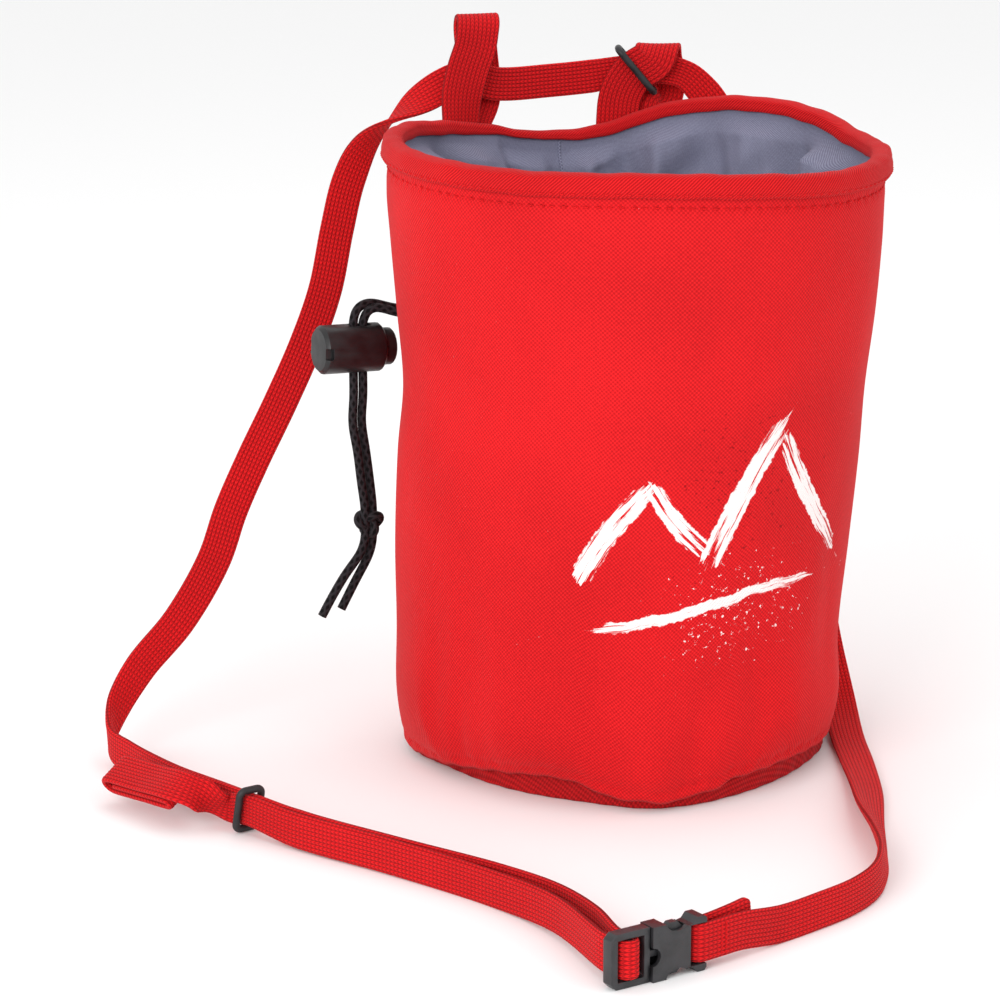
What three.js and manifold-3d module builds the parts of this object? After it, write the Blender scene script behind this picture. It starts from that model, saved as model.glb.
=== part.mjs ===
// Climbing chalk bag with a webbing belt, a side-release buckle and a drawcord with its lock.
// Millimetres, +Z up. X runs to the right and Y away from the front. The origin is the
// centre of the flat base, on the surface that the bag stands on.

import * as THREE from 'three';
import Module from 'manifold-3d';
import { mergeVertices } from 'three/addons/utils/BufferGeometryUtils.js';

// Driving dimensions of the bag
const bagHeight = 172;
const mouthRadius = 67;
const wallThickness = 1.6;
const liningThickness = 1;
const baseThickness = 1.6;
const baseRise = 5;
const bindingHeight = 6;
const bindingThickness = 0.9;
const sewnGap = 0.35;

// Driving dimensions of the straps and rings
const beltWidth = 9.5;
const beltThickness = 1.8;
const floorGap = 0.1;
const loopWidth = 12.2;
const loopThickness = 1.4;
const loopSewnLength = 18;
const loopSpread = 7.4;
const leftLoopHeight = 29;
const rightLoopHeight = 20;
const loopEase = 0.5;
const ringWire = 2;
const ringPinch = 0.86;
const topRingLean = 50;
const frontRingLean = 14;
const tabLength = 16;
const tabRise = 2.4;
const tailFoldLength = 31;

// Driving dimensions of the buckle
const buckleHeight = 13.6;
const buckleBar = 1.9;
const buckleSlot = 2.8;
const buckleShoulder = 1.6;
const femaleLength = 16;
const femaleThickness = 5.2;
const maleThickness = 3.4;
const femaleWall = 1.2;
const prongLength = 9;
const prongWidth = 1.7;
const prongGap = 0.3;

// Driving dimensions of the cord lock and the cord
const cordDiameter = 2.5;
const cordGap = 0.3;
const cordHoleGap = 0.5;
const barrelDiameter = 13.6;
const barrelLength = 18.3;
const barrelWall = 1.3;
const barrelEndWall = 2.4;
const plungerGap = 0.3;
const plungerOut = 3.5;
const plungerTravel = 2.5;
const knotDiameter = 8.2;
const knotHeight = 8.6;

// How finely the round forms are stepped
const aroundSteps = 52;
const wireSides = 6;
const cordSides = 8;
const cordStep = 2.4 * cordDiameter;
const beltStep = 12;

const red = { color: 0xd81f22, roughness: 0.85, metalness: 0 };
const darkRed = { color: 0xa5161c, roughness: 0.9, metalness: 0 };
const bindingRed = { color: 0xdc2224, roughness: 0.8, metalness: 0 };
const beltRed = { color: 0xc91d22, roughness: 0.85, metalness: 0 };
const liningGrey = { color: 0x8a8ca0, roughness: 0.8, metalness: 0 };
const plasticBlack = { color: 0x35353a, roughness: 0.5, metalness: 0 };
const rubberBlack = { color: 0x1f1f22, roughness: 0.6, metalness: 0 };
const cordBlack = { color: 0x17171a, roughness: 0.9, metalness: 0 };

// The rim's top edge around the mouth: angle in degrees from +X, height in bag heights
const rimRows = [
  { angle: 0, height: 0.984 },
  { angle: 21, height: 0.987 },
  { angle: 39, height: 1.009 },
  { angle: 57, height: 1.017 },
  { angle: 73, height: 1.009 },
  { angle: 85, height: 0.991 },
  { angle: 97, height: 0.963 },
  { angle: 113, height: 0.956 },
  { angle: 130, height: 0.977 },
  { angle: 143, height: 0.99 },
  { angle: 163, height: 1.003 },
  { angle: 200, height: 1 },
  { angle: 240, height: 0.997 },
  { angle: 270, height: 0.999 },
  { angle: 296, height: 0.992 },
  { angle: 316, height: 0.983 },
  { angle: 339, height: 0.981 },
];

// The bag's upright profile: height in bag heights, centre and radius in mouth radii
const profileRows = [
  { height: 0, centre: -0.004, radius: 0.9 },
  { height: 0.06, centre: -0.004, radius: 0.915 },
  { height: 0.12, centre: -0.005, radius: 0.92 },
  { height: 0.21, centre: -0.009, radius: 0.912 },
  { height: 0.35, centre: 0.004, radius: 0.93 },
  { height: 0.5, centre: 0.028, radius: 0.942 },
  { height: 0.61, centre: 0.049, radius: 0.941 },
  { height: 0.73, centre: 0.058, radius: 0.969 },
  { height: 0.84, centre: 0.058, radius: 0.99 },
  { height: 0.92, centre: 0.054, radius: 1 },
  { height: 1.05, centre: 0.063, radius: 1.005 },
];

// The bottom edge around the base: where the base meets the ground, and the wall's hem,
// with radii in mouth radii and the hem's height in bag heights
const hemRows = [
  { angle: 8, base: 0.875, hem: 0.895, height: 0.03 },
  { angle: 40, base: 0.855, hem: 0.885, height: 0.032 },
  { angle: 90, base: 0.84, hem: 0.875, height: 0.032 },
  { angle: 135, base: 0.845, hem: 0.88, height: 0.028 },
  { angle: 165, base: 0.85, hem: 0.885, height: 0.02 },
  { angle: 187, base: 0.84, hem: 0.88, height: 0.014 },
  { angle: 202, base: 0.77, hem: 0.82, height: 0.013 },
  { angle: 220, base: 0.745, hem: 0.805, height: 0.026 },
  { angle: 240, base: 0.747, hem: 0.8, height: 0.038 },
  { angle: 256, base: 0.765, hem: 0.82, height: 0.037 },
  { angle: 266, base: 0.8, hem: 0.855, height: 0.023 },
  { angle: 277, base: 0.845, hem: 0.895, height: 0.015 },
  { angle: 292, base: 0.835, hem: 0.88, height: 0.023 },
  { angle: 302, base: 0.812, hem: 0.855, height: 0.035 },
  { angle: 320, base: 0.795, hem: 0.848, height: 0.04 },
  { angle: 340, base: 0.81, hem: 0.86, height: 0.036 },
];

// Dents and swells of the wall: angle and its spread in degrees, height and its spread in
// bag heights, depth in mouth radii (a dent is negative)
const dentRows = [
  { angle: 222, wide: 12, height: 0.13, tall: 0.13, depth: -0.03 },
  { angle: 246, wide: 13, height: 0.2, tall: 0.16, depth: 0.012 },
  { angle: 277, wide: 12, height: 0.07, tall: 0.1, depth: 0.02 },
  { angle: 303, wide: 12, height: 0.14, tall: 0.12, depth: -0.022 },
  { angle: 326, wide: 14, height: 0.3, tall: 0.12, depth: 0.012 },
  { angle: 284, wide: 30, height: 0.55, tall: 0.2, depth: 0.012 },
  { angle: 170, wide: 22, height: 0.6, tall: 0.07, depth: -0.004 },
  { angle: 120, wide: 26, height: 0.45, tall: 0.2, depth: -0.02 },
  { angle: 70, wide: 20, height: 0.62, tall: 0.2, depth: 0.014 },
  { angle: 40, wide: 16, height: 0.25, tall: 0.16, depth: -0.018 },
];

// The lining's gathers: how many folds, how deep in mouth radii, and where the cord draws it in
const liningFolds = 11;
const liningFoldDepth = 0.035;
const liningDrawIn = 0.05;
const liningDrawHeight = 0.72;
const liningDrawSpread = 0.16;

const degrees = THREE.MathUtils.degToRad;

// A smooth value of one column between the rows of a table, wrapping round when it has a period
function fromRows(rows, key, column, at, period = 0) {
  const count = rows.length;
  const row = (i) => {
    if (!period) return rows[Math.min(Math.max(i, 0), count - 1)];
    const turns = Math.floor(i / count);
    const found = rows[i - turns * count];
    return { ...found, [key]: found[key] + turns * period };
  };
  let place = at;
  if (period) {
    while (place < rows[0][key]) place += period;
    while (place >= rows[0][key] + period) place -= period;
  } else {
    place = Math.min(Math.max(place, rows[0][key]), rows[count - 1][key]);
  }
  let i = 0;
  while (i < count - (period ? 1 : 2) && row(i + 1)[key] <= place) i += 1;
  const [a, b, c, d] = [row(i - 1), row(i), row(i + 1), row(i + 2)];
  const span = c[key] - b[key];
  const share = (place - b[key]) / span;
  const slopeB = (c[column] - a[column]) / Math.max(c[key] - a[key], span);
  const slopeC = (d[column] - b[column]) / Math.max(d[key] - b[key], span);
  const s2 = share * share;
  const s3 = s2 * share;
  return (2 * s3 - 3 * s2 + 1) * b[column] + (s3 - 2 * s2 + share) * span * slopeB
    + (3 * s2 - 2 * s3) * c[column] + (s3 - s2) * span * slopeC;
}

const bell = (distance, spread) => Math.exp(-((distance / spread) ** 2));
const angleBetween = (a, b) => ((a - b + 540) % 360) - 180;

const rimTop = (angle) => bagHeight * fromRows(rimRows, 'angle', 'height', angle, 360);
const hemHeight = (angle) => bagHeight * fromRows(hemRows, 'angle', 'height', angle, 360);
const hemRadius = (angle) => mouthRadius * fromRows(hemRows, 'angle', 'hem', angle, 360);
const baseRadius = (angle) => mouthRadius * fromRows(hemRows, 'angle', 'base', angle, 360);
const centreAt = (z) => mouthRadius * fromRows(profileRows, 'height', 'centre', z / bagHeight);

// The wall's outer radius: the profile, drawn to the hem's radius low down, with its dents
const hemReach = 0.13 * bagHeight;
function wallRadius(angle, z) {
  const profile = mouthRadius * fromRows(profileRows, 'height', 'radius', z / bagHeight);
  const above = Math.min(Math.max((z - hemHeight(angle)) / hemReach, 0), 1);
  const toHem = (1 - above) ** 3;
  let dents = 0;
  for (const dent of dentRows) {
    const near = bell(angleBetween(angle, dent.angle), dent.wide);
    dents += dent.depth * near * bell(z / bagHeight - dent.height, dent.tall);
  }
  const plain = profile + (hemRadius(angle) - profile) * toHem;
  return plain + mouthRadius * dents * Math.min(above * 3, 1);
}

// A point at a radius and height around the bag's own middle line
function aroundBag(angle, radius, z) {
  const turn = degrees(angle);
  return new THREE.Vector3(centreAt(z) + radius * Math.cos(turn), radius * Math.sin(turn), z);
}

const onWall = (angle, z, outward) => aroundBag(angle, wallRadius(angle, z) + outward, z);

// A closed mesh from a grid of points that closes on itself both ways
function ringMesh(sectionCount, aroundCount, pointAt) {
  const positions = [];
  const faces = [];
  for (let i = 0; i < aroundCount; i += 1) {
    for (let j = 0; j < sectionCount; j += 1) positions.push(...pointAt(j, i).toArray());
  }
  const at = (j, i) => (i % aroundCount) * sectionCount + (j % sectionCount);
  for (let i = 0; i < aroundCount; i += 1) {
    for (let j = 0; j < sectionCount; j += 1) {
      faces.push(at(j, i), at(j, i + 1), at(j + 1, i + 1));
      faces.push(at(j, i), at(j + 1, i + 1), at(j + 1, i));
    }
  }
  return closedMesh(positions, faces);
}

// A closed mesh from rings of points between a first and a last point on the middle line
function cupMesh(first, last, ringCount, aroundCount, pointAt) {
  const positions = [...first.toArray(), ...last.toArray()];
  const faces = [];
  for (let i = 0; i < aroundCount; i += 1) {
    for (let j = 0; j < ringCount; j += 1) positions.push(...pointAt(j, i).toArray());
  }
  const at = (j, i) => 2 + (i % aroundCount) * ringCount + j;
  for (let i = 0; i < aroundCount; i += 1) {
    faces.push(0, at(0, i + 1), at(0, i));
    faces.push(1, at(ringCount - 1, i), at(ringCount - 1, i + 1));
    for (let j = 0; j < ringCount - 1; j += 1) {
      faces.push(at(j, i), at(j, i + 1), at(j + 1, i + 1));
      faces.push(at(j, i), at(j + 1, i + 1), at(j + 1, i));
    }
  }
  return closedMesh(positions, faces);
}

function closedMesh(positions, faces) {
  const geometry = new THREE.BufferGeometry();
  geometry.setAttribute('position', new THREE.Float32BufferAttribute(positions, 3));
  geometry.setIndex(faces);
  return geometry;
}

// Solids for cutting and joining
const wasm = await Module();
wasm.setup();

function toSolid(geometry) {
  const bare = geometry.clone();
  bare.deleteAttribute('normal');
  bare.deleteAttribute('uv');
  const merged = mergeVertices(bare, 1e-4);
  return new wasm.Manifold(new wasm.Mesh({
    numProp: 3,
    vertProperties: new Float32Array(merged.attributes.position.array),
    triVerts: new Uint32Array(merged.index.array),
  }));
}

function fromSolid(solid) {
  const mesh = solid.getMesh();
  return closedMesh(Array.from(mesh.vertProperties), Array.from(mesh.triVerts));
}

function cutFrom(geometry, cutters) {
  const body = cutters.reduce((solid, cutter) => solid.subtract(toSolid(cutter)), toSolid(geometry));
  return fromSolid(body);
}

// The chalk bag: wall, base, lining and rim binding

const aroundAngle = (i) => (360 * i) / aroundSteps;
const wallTop = (angle) => rimTop(angle) - bindingThickness - sewnGap;
const wallLevels = [0, 0.014, 0.035, 0.065, 0.11, 0.17, 0.25, 0.35, 0.46, 0.57, 0.68, 0.79, 0.9, 1];

function bagWallGeometry() {
  const levels = wallLevels.length;
  return ringMesh(2 * levels, aroundSteps, (j, i) => {
    const angle = aroundAngle(i);
    const inside = j >= levels;
    const level = wallLevels[inside ? 2 * levels - 1 - j : j];
    const z = hemHeight(angle) + level * (wallTop(angle) - hemHeight(angle));
    return onWall(angle, z, inside ? -wallThickness : 0);
  });
}

// The two small holes where the drawcord's ends leave the wall
const cordHoles = [
  { angle: 157.5, z: 119.8 },
  { angle: 164.5, z: 119.8 },
];

function cordHoleCutter(hole) {
  const cutter = new THREE.CylinderGeometry(
    cordDiameter / 2 + cordHoleGap, cordDiameter / 2 + cordHoleGap, 4 * wallThickness, cordSides);
  const outward = onWall(hole.angle, hole.z, 0).sub(aroundBag(hole.angle, 0, hole.z)).normalize();
  cutter.applyQuaternion(new THREE.Quaternion().setFromUnitVectors(new THREE.Vector3(0, 1, 0), outward));
  const middle = onWall(hole.angle, hole.z, -wallThickness / 2);
  cutter.translate(middle.x, middle.y, middle.z);
  return cutter;
}

// The base is a shallow dish: its flat floor turns up into a side that ends inside the hem
const baseCorner = 1.5;

function baseSection(angle) {
  const foot = baseRadius(angle);
  const hem = hemHeight(angle);
  const inWall = (z) => wallRadius(angle, z) - wallThickness - sewnGap;
  const lip = hem + baseRise;
  const outer = [
    [foot - baseCorner, 0],
    [foot - 0.3 * baseCorner, 0.3 * baseCorner],
    [Math.min(foot, inWall(hem)), baseCorner],
    [inWall(hem), hem + 0.3 * baseRise],
    [inWall(lip), lip],
  ];
  const inner = [
    [inWall(lip) - baseThickness, lip],
    [inWall(hem) - baseThickness, hem + 0.3 * baseRise],
    [foot - baseThickness - baseCorner, baseThickness],
  ];
  return [...outer, ...inner];
}

function basePanelGeometry() {
  const sections = [];
  for (let i = 0; i < aroundSteps; i += 1) sections.push(baseSection(aroundAngle(i)));
  return cupMesh(
    new THREE.Vector3(0, 0, 0), new THREE.Vector3(0, 0, baseThickness),
    sections[0].length, aroundSteps,
    (j, i) => aroundBag(aroundAngle(i), sections[i][j][0], sections[i][j][1]));
}

// The lining hangs inside the wall, gathered into folds where the drawcord runs round it.
// Its lowest row stands clear of the base's lip and the rows above share the wall's levels.
function liningRadius(angle, z, clear) {
  const belowBinding = rimTop(angle) - 3 * bindingHeight - z;
  const loose = Math.min(Math.max(belowBinding / (2 * bindingHeight), 0), 1);
  const drawn = loose * bell(z / bagHeight - liningDrawHeight, liningDrawSpread);
  const turned = angle * liningFolds + 40 * Math.sin(degrees(3 * angle));
  const fold = 0.5 - 0.5 * Math.cos(degrees(turned));
  const inward = mouthRadius * drawn * (liningDrawIn + liningFoldDepth * fold);
  return wallRadius(angle, z) - clear - inward;
}

const liningLevels = wallLevels.slice(4);
const liningFloor = baseThickness + sewnGap;
const insideWall = wallThickness + sewnGap;
const insideBase = insideWall + baseThickness + sewnGap;

function liningGeometry() {
  const rows = liningLevels.length + 2;
  return cupMesh(
    new THREE.Vector3(0, 0, liningFloor), new THREE.Vector3(0, 0, liningFloor + liningThickness),
    2 * rows, aroundSteps,
    (j, i) => {
      const angle = aroundAngle(i);
      const inside = j >= rows;
      const row = inside ? 2 * rows - 1 - j : j;
      const skin = inside ? liningThickness : 0;
      const lip = hemHeight(angle) + baseRise;
      if (row === 0) {
        const foot = baseRadius(angle) - 2 * insideWall - 2 * baseCorner;
        return aroundBag(angle, foot - skin, liningFloor + skin);
      }
      if (row === 1) return aroundBag(angle, liningRadius(angle, lip, insideBase) - skin, lip + sewnGap);
      const hem = hemHeight(angle);
      const z = hem + liningLevels[row - 2] * (wallTop(angle) - hem);
      return aroundBag(angle, liningRadius(angle, z, insideWall) - skin, z);
    });
}

// The rim binding: tape folded over the edges of the wall and the lining, open below
function bindingSection(angle) {
  const top = rimTop(angle);
  const low = top - bindingHeight;
  const outer = wallRadius(angle, top) + sewnGap + bindingThickness;
  const groove = wallThickness + liningThickness + 3 * sewnGap;
  const inner = outer - groove - 2 * bindingThickness;
  const roof = top - bindingThickness;
  return [
    [outer, low],
    [outer + 0.3 * bindingThickness, low + 0.45 * bindingHeight],
    [outer - 0.2 * bindingThickness, roof],
    [outer - bindingThickness, top],
    [inner + bindingThickness, top],
    [inner, roof],
    [inner, low],
    [inner + bindingThickness, low],
    [inner + bindingThickness, roof],
    [outer - bindingThickness, roof],
    [outer - bindingThickness, low],
  ];
}

function rimBindingGeometry() {
  const sections = [];
  for (let i = 0; i < aroundSteps; i += 1) sections.push(bindingSection(aroundAngle(i)));
  return ringMesh(sections[0].length, aroundSteps,
    (j, i) => aroundBag(aroundAngle(i), sections[i][j][0], sections[i][j][1]));
}

// Flat straps follow stations: a point, the way the strap's face looks, and a share of its width

const station = (point, face, width = 1) => ({ point, face, width });

function facing(turn, tilt) {
  const flat = Math.cos(degrees(tilt));
  return new THREE.Vector3(
    flat * Math.cos(degrees(turn)), flat * Math.sin(degrees(turn)), Math.sin(degrees(tilt)));
}

function strapFrames(stations, step) {
  const curve = new THREE.CatmullRomCurve3(stations.map((s) => s.point), false, 'centripetal');
  const spans = stations.length - 1;
  const frames = [];
  for (let i = 0; i < spans; i += 1) {
    const [from, to] = [stations[i], stations[i + 1]];
    const parts = Math.max(1, Math.round(from.point.distanceTo(to.point) / step));
    for (let k = 0; k < parts + (i === spans - 1 ? 1 : 0); k += 1) {
      const share = k / parts;
      const t = (i + share) / spans;
      const tangent = curve.getTangent(t);
      const face = from.face.clone().lerp(to.face, share);
      face.addScaledVector(tangent, -face.dot(tangent)).normalize();
      frames.push({
        point: curve.getPoint(t),
        face,
        across: new THREE.Vector3().crossVectors(face, tangent),
        width: from.width + (to.width - from.width) * share,
      });
    }
  }
  return frames;
}

function strapGeometry(stations, width, thickness, step) {
  const frames = strapFrames(stations, step);
  const corners = [[-1, -1], [1, -1], [1, 1], [-1, 1]];
  const positions = [];
  const faces = [];
  for (const frame of frames) {
    for (const [a, f] of corners) {
      const corner = frame.point.clone();
      corner.addScaledVector(frame.across, (a * width * frame.width) / 2);
      corner.addScaledVector(frame.face, (f * thickness) / 2);
      positions.push(...corner.toArray());
    }
  }
  const last = 4 * (frames.length - 1);
  faces.push(0, 2, 1, 0, 3, 2, last, last + 1, last + 2, last, last + 2, last + 3);
  for (let i = 0; i < frames.length - 1; i += 1) {
    for (let j = 0; j < 4; j += 1) {
      const [a, b] = [4 * i + j, 4 * i + ((j + 1) % 4)];
      faces.push(a, b, b + 4, a, b + 4, a + 4);
    }
  }
  return closedMesh(positions, faces);
}

// The belt loops: both ends of a short strap sewn one over the other on the back wall, with
// the belt between the legs. Each stands at an angle of the mouth and leans along it. The legs'
// rows give the height in loop heights and the lean in shares of the lean at the top.
const loops = {
  left: {
    angle: 133.5, backAngle: 128, height: leftLoopHeight, lean: 6.5, turn: 288,
    front: [{ up: 0.25, lean: 0.08 }, { up: 0.5, lean: 0.35 }, { up: 0.72, lean: 0.7 }],
    back: [{ up: 0.6, lean: 1.1 }, { up: 0.18, lean: 1.25 }],
  },
  right: {
    angle: 92.5, backAngle: 84, height: rightLoopHeight, lean: 12.5, turn: 270,
    front: [{ up: 0.25, lean: 0.04 }, { up: 0.46, lean: 0.17 }, { up: 0.66, lean: 0.42 }],
    back: [{ up: 0.55, lean: 1.08 }, { up: 0.25, lean: 1.04 }],
  },
};

const legOut = sewnGap + loopThickness / 2;
const secondOut = legOut + loopThickness + sewnGap + loopEase;
const overBinding = bindingThickness * 1.3 + sewnGap;
const sewnLow = loopSewnLength + bindingHeight;
const loopBend = loopSpread / 2;

// A point over a loop's foot: so far up, leaning along the loop's face, and so far back
function overLoop(loop, up, lean, back) {
  return onWall(loop.angle, rimTop(loop.angle), overBinding + legOut)
    .addScaledVector(facing(loop.turn + 90, 0), lean)
    .addScaledVector(facing(loop.turn + 180, 0), back)
    .add(new THREE.Vector3(0, 0, up));
}

function loopStations(loop) {
  const front = facing(loop.turn, 0);
  const back = front.clone().negate();
  const onFace = facing(loop.angle + 180, 0);
  const backFace = facing(loop.backAngle, 0);
  const rim = rimTop(loop.angle);
  const backRim = rimTop(loop.backAngle);
  const atRow = (row, behind) => overLoop(loop, row.up * loop.height, row.lean * loop.lean, behind);
  const bend = [];
  for (const turn of [0, 30, 60, 90, 120, 150, 180]) {
    const [out, up] = [Math.cos(degrees(turn)), Math.sin(degrees(turn))];
    const lean = loop.lean * (0.8 + 0.2 * Math.sin(degrees(turn / 2)));
    const point = overLoop(loop, loop.height - loopBend * (1 - up), lean, loopBend * (1 - out));
    bend.push(station(point, front.clone().multiplyScalar(out).add(new THREE.Vector3(0, 0, up))));
  }
  return [
    station(onWall(loop.angle, rim - sewnLow, legOut), onFace),
    station(onWall(loop.angle, rim - 2.4 * bindingHeight, legOut), onFace),
    station(onWall(loop.angle, rim - 1.2 * bindingHeight, overBinding + legOut), onFace),
    station(onWall(loop.angle, rim, overBinding + legOut), onFace),
    ...loop.front.map((row) => station(atRow(row, 0), front)),
    ...bend,
    ...loop.back.map((row) => station(atRow(row, 1.9 * loopBend), back)),
    station(onWall(loop.backAngle, backRim, overBinding + secondOut), backFace),
    station(onWall(loop.backAngle, backRim - 1.2 * bindingHeight, overBinding + secondOut), backFace),
    station(onWall(loop.backAngle, backRim - 2.4 * bindingHeight, secondOut), backFace),
    station(onWall(loop.backAngle, backRim - sewnLow, secondOut), backFace),
  ];
}

// Where the belt passes between a loop's legs, lying against the front one
const behindLeg = loopThickness / 2 + sewnGap + loopEase + beltThickness / 2;

function beltInLoop(loop, up, lean, width) {
  const point = overLoop(loop, up * loop.height, lean * loop.lean, behindLeg);
  return station(point, facing(loop.turn, 0), width);
}

// The belt's route: x and y in mouth radii, the height of its lower edge in bag heights,
// and the way its outer face looks, by turn and tilt in degrees
const frontRows = [
  { x: 0.51, y: -2.32, low: 0, turn: 310, tilt: 0 },
  { x: 0.66, y: -2.18, low: 0, turn: 314, tilt: 0 },
  { x: 0.79, y: -2.04, low: 0, turn: 326, tilt: 0 },
  { x: 0.89, y: -1.87, low: 0, turn: 343, tilt: 2 },
  { x: 0.94, y: -1.66, low: 0, turn: 355, tilt: 8 },
  { x: 0.95, y: -1.42, low: 0, turn: 2, tilt: 20 },
  { x: 0.95, y: -1.09, low: 0.002, turn: 5, tilt: 45 },
  { x: 0.97, y: -0.69, low: 0.002, turn: 8, tilt: 70 },
  { x: 0.97, y: -0.27, low: 0.002, turn: 10, tilt: 86 },
  { x: 0.96, y: 0.06, low: 0.004, turn: 280, tilt: 86 },
  { x: 0.95, y: 0.36, low: 0.02, turn: 270, tilt: 60 },
];
const climbRows = [
  { x: 0.9, y: 0.66, low: 0.11, turn: 270, tilt: 38 },
  { x: 0.84, y: 0.9, low: 0.29, turn: 268, tilt: 17 },
  { x: 0.75, y: 1.04, low: 0.5, turn: 266, tilt: 8 },
  { x: 0.65, y: 1.12, low: 0.7, turn: 266, tilt: 2 },
  { x: 0.54, y: 1.14, low: 0.86, turn: 268, tilt: -3 },
  { x: 0.46, y: 1.12, low: 0.935, turn: 270, tilt: 0 },
  { x: 0.39, y: 1.1, low: 0.978, turn: 270, tilt: 0 },
  { x: 0.29, y: 1.09, low: 1.013, turn: 270, tilt: 0, width: 0.86 },
];
const betweenRows = [
  { x: -0.1, y: 1.065, low: 1.01, turn: 274, tilt: 0 },
  { x: -0.28, y: 1, low: 1.006, turn: 284, tilt: 0 },
  { x: -0.5, y: 0.885, low: 1.006, turn: 290, tilt: 0 },
];
const archRows = [
  { x: -0.82, y: 0.78, low: 0.988, turn: 250, tilt: 22 },
  { x: -0.94, y: 0.76, low: 0.962, turn: 180, tilt: 52 },
  { x: -1.06, y: 0.73, low: 0.914, turn: 115, tilt: 25 },
  { x: -1.13, y: 0.7, low: 0.857, turn: 98, tilt: 6 },
  { x: -1.18, y: 0.66, low: 0.778, turn: 95, tilt: 0 },
  { x: -1.23, y: 0.6, low: 0.682, turn: 92, tilt: 0 },
  { x: -1.31, y: 0.52, low: 0.596, turn: 92, tilt: 0 },
  { x: -1.42, y: 0.43, low: 0.503, turn: 92, tilt: 0 },
  { x: -1.53, y: 0.36, low: 0.417, turn: 95, tilt: 0 },
  { x: -1.62, y: 0.28, low: 0.34, turn: 98, tilt: 0 },
  { x: -1.69, y: 0.21, low: 0.263, turn: 100, tilt: 0 },
  { x: -1.83, y: 0.1, low: 0.173, turn: 104, tilt: 0 },
  { x: -1.99, y: -0.01, low: 0.104, turn: 112, tilt: 0 },
  { x: -2.08, y: -0.11, low: 0.045, turn: 140, tilt: 0 },
  { x: -2.09, y: -0.25, low: 0.01, turn: 190, tilt: 0 },
  { x: -1.99, y: -0.41, low: 0.002, turn: 210, tilt: 0 },
  { x: -1.76, y: -0.71, low: 0.004, turn: 214, tilt: -24 },
];
const ringRow = { x: -1.455, y: -1.11, low: 0, turn: 216, tilt: 0, width: ringPinch };
const besideRingRow = { x: -1.52, y: -1.025, low: 0.004, turn: 216, tilt: -6, width: 0.88 };
const pairedRows = [
  { x: -1.26, y: -1.29, low: 0.004, turn: 221, tilt: 0 },
  { x: -0.87, y: -1.59, low: 0.001, turn: 228, tilt: 0 },
];
const openRows = [
  { x: -0.49, y: -1.88, low: 0, turn: 228, tilt: 0 },
  { x: -0.28, y: -2.13, low: 0.005, turn: 216, tilt: 0 },
  { x: -0.15, y: -2.4, low: 0.01, turn: 208, tilt: 0 },
];
const tailRows = [
  { x: -0.3, y: -2.25, low: 0.006, turn: 210, tilt: 0 },
  { x: -0.52, y: -1.95, low: 0, turn: 226, tilt: 0 },
];

function routeStation(row) {
  const standing = (beltWidth / 2) * Math.cos(degrees(row.tilt));
  const lying = (beltThickness / 2) * Math.abs(Math.sin(degrees(row.tilt)));
  const z = floorGap + row.low * bagHeight + standing + lying;
  const point = new THREE.Vector3(row.x * mouthRadius, row.y * mouthRadius, z);
  return station(point, facing(row.turn, row.tilt), row.width ?? 1);
}

// The belt's second layer in front of a station, with its face turned the other way
const layerPitch = beltThickness + sewnGap;

function frontLayer(first) {
  const point = first.point.clone().addScaledVector(first.face, layerPitch);
  return station(point, first.face.clone().negate(), first.width);
}

// The buckle stands on its edge: u runs along it from the split, n out of its front, w up
const buckleAt = { x: 0.013, y: -2.69 };
const buckleTurn = 34.5;
const buckleAlong = facing(buckleTurn, 0);
const buckleFront = facing(buckleTurn - 90, 0);

function inBuckle(u, n, w = 0) {
  return new THREE.Vector3(buckleAt.x * mouthRadius, buckleAt.y * mouthRadius, floorGap + buckleHeight / 2)
    .addScaledVector(buckleAlong, u).addScaledVector(buckleFront, n).add(new THREE.Vector3(0, 0, w));
}

// Stations half round a bar: the belt leaves the bar's far side and comes back on its near side
const wrapReach = buckleBar / 2 + sewnGap + beltThickness / 2;

function aroundBar(barU, fromTurn, toTurn, parts, outward) {
  const stations = [];
  for (let i = 0; i <= parts; i += 1) {
    const turn = degrees(fromTurn + ((toTurn - fromTurn) * i) / parts);
    const [u, n] = [Math.cos(turn), Math.sin(turn)];
    const face = buckleAlong.clone().multiplyScalar(u * outward).addScaledVector(buckleFront, n * outward);
    stations.push(station(inBuckle(barU + wrapReach * u, wrapReach * n), face));
  }
  return stations;
}

const femaleBarU = femaleLength - buckleBar / 2;
const maleBarU = -buckleShoulder - buckleSlot - buckleBar / 2;

// The belt's end sewn round the female bar, its tab lying behind and rising a little
function sewnEndStations() {
  const behind = (u, n, w) => station(inBuckle(femaleLength + u, n, w), buckleFront.clone().negate());
  const before = (u, n) => station(inBuckle(femaleLength + u, n, 0), buckleFront.clone());
  return [
    behind(tabLength, -0.9 * layerPitch, tabRise),
    behind(0.7 * tabLength, -0.62 * layerPitch, 0.75 * tabRise),
    behind(0.3 * tabLength, -0.75 * layerPitch, 0.3 * tabRise),
    ...aroundBar(femaleBarU, 290, 70, 6, 1),
    before(0.25 * tabLength, 0.8 * layerPitch),
    before(0.7 * tabLength, 0.5 * layerPitch),
  ];
}

// The belt comes from behind through the inner slot, over the middle bar and back
function weaveStations() {
  const slotSide = wrapReach + 0.05 * beltThickness;
  const up = (n) => station(inBuckle(maleBarU + slotSide, n), buckleAlong.clone().negate());
  const down = (n) => station(inBuckle(maleBarU - slotSide, n), buckleAlong.clone());
  return [
    up(-3.6 * beltThickness), up(-1.5 * beltThickness),
    ...aroundBar(maleBarU, 0, 180, 6, -1),
    down(-1.5 * beltThickness), down(-3.4 * beltThickness),
  ];
}

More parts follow.
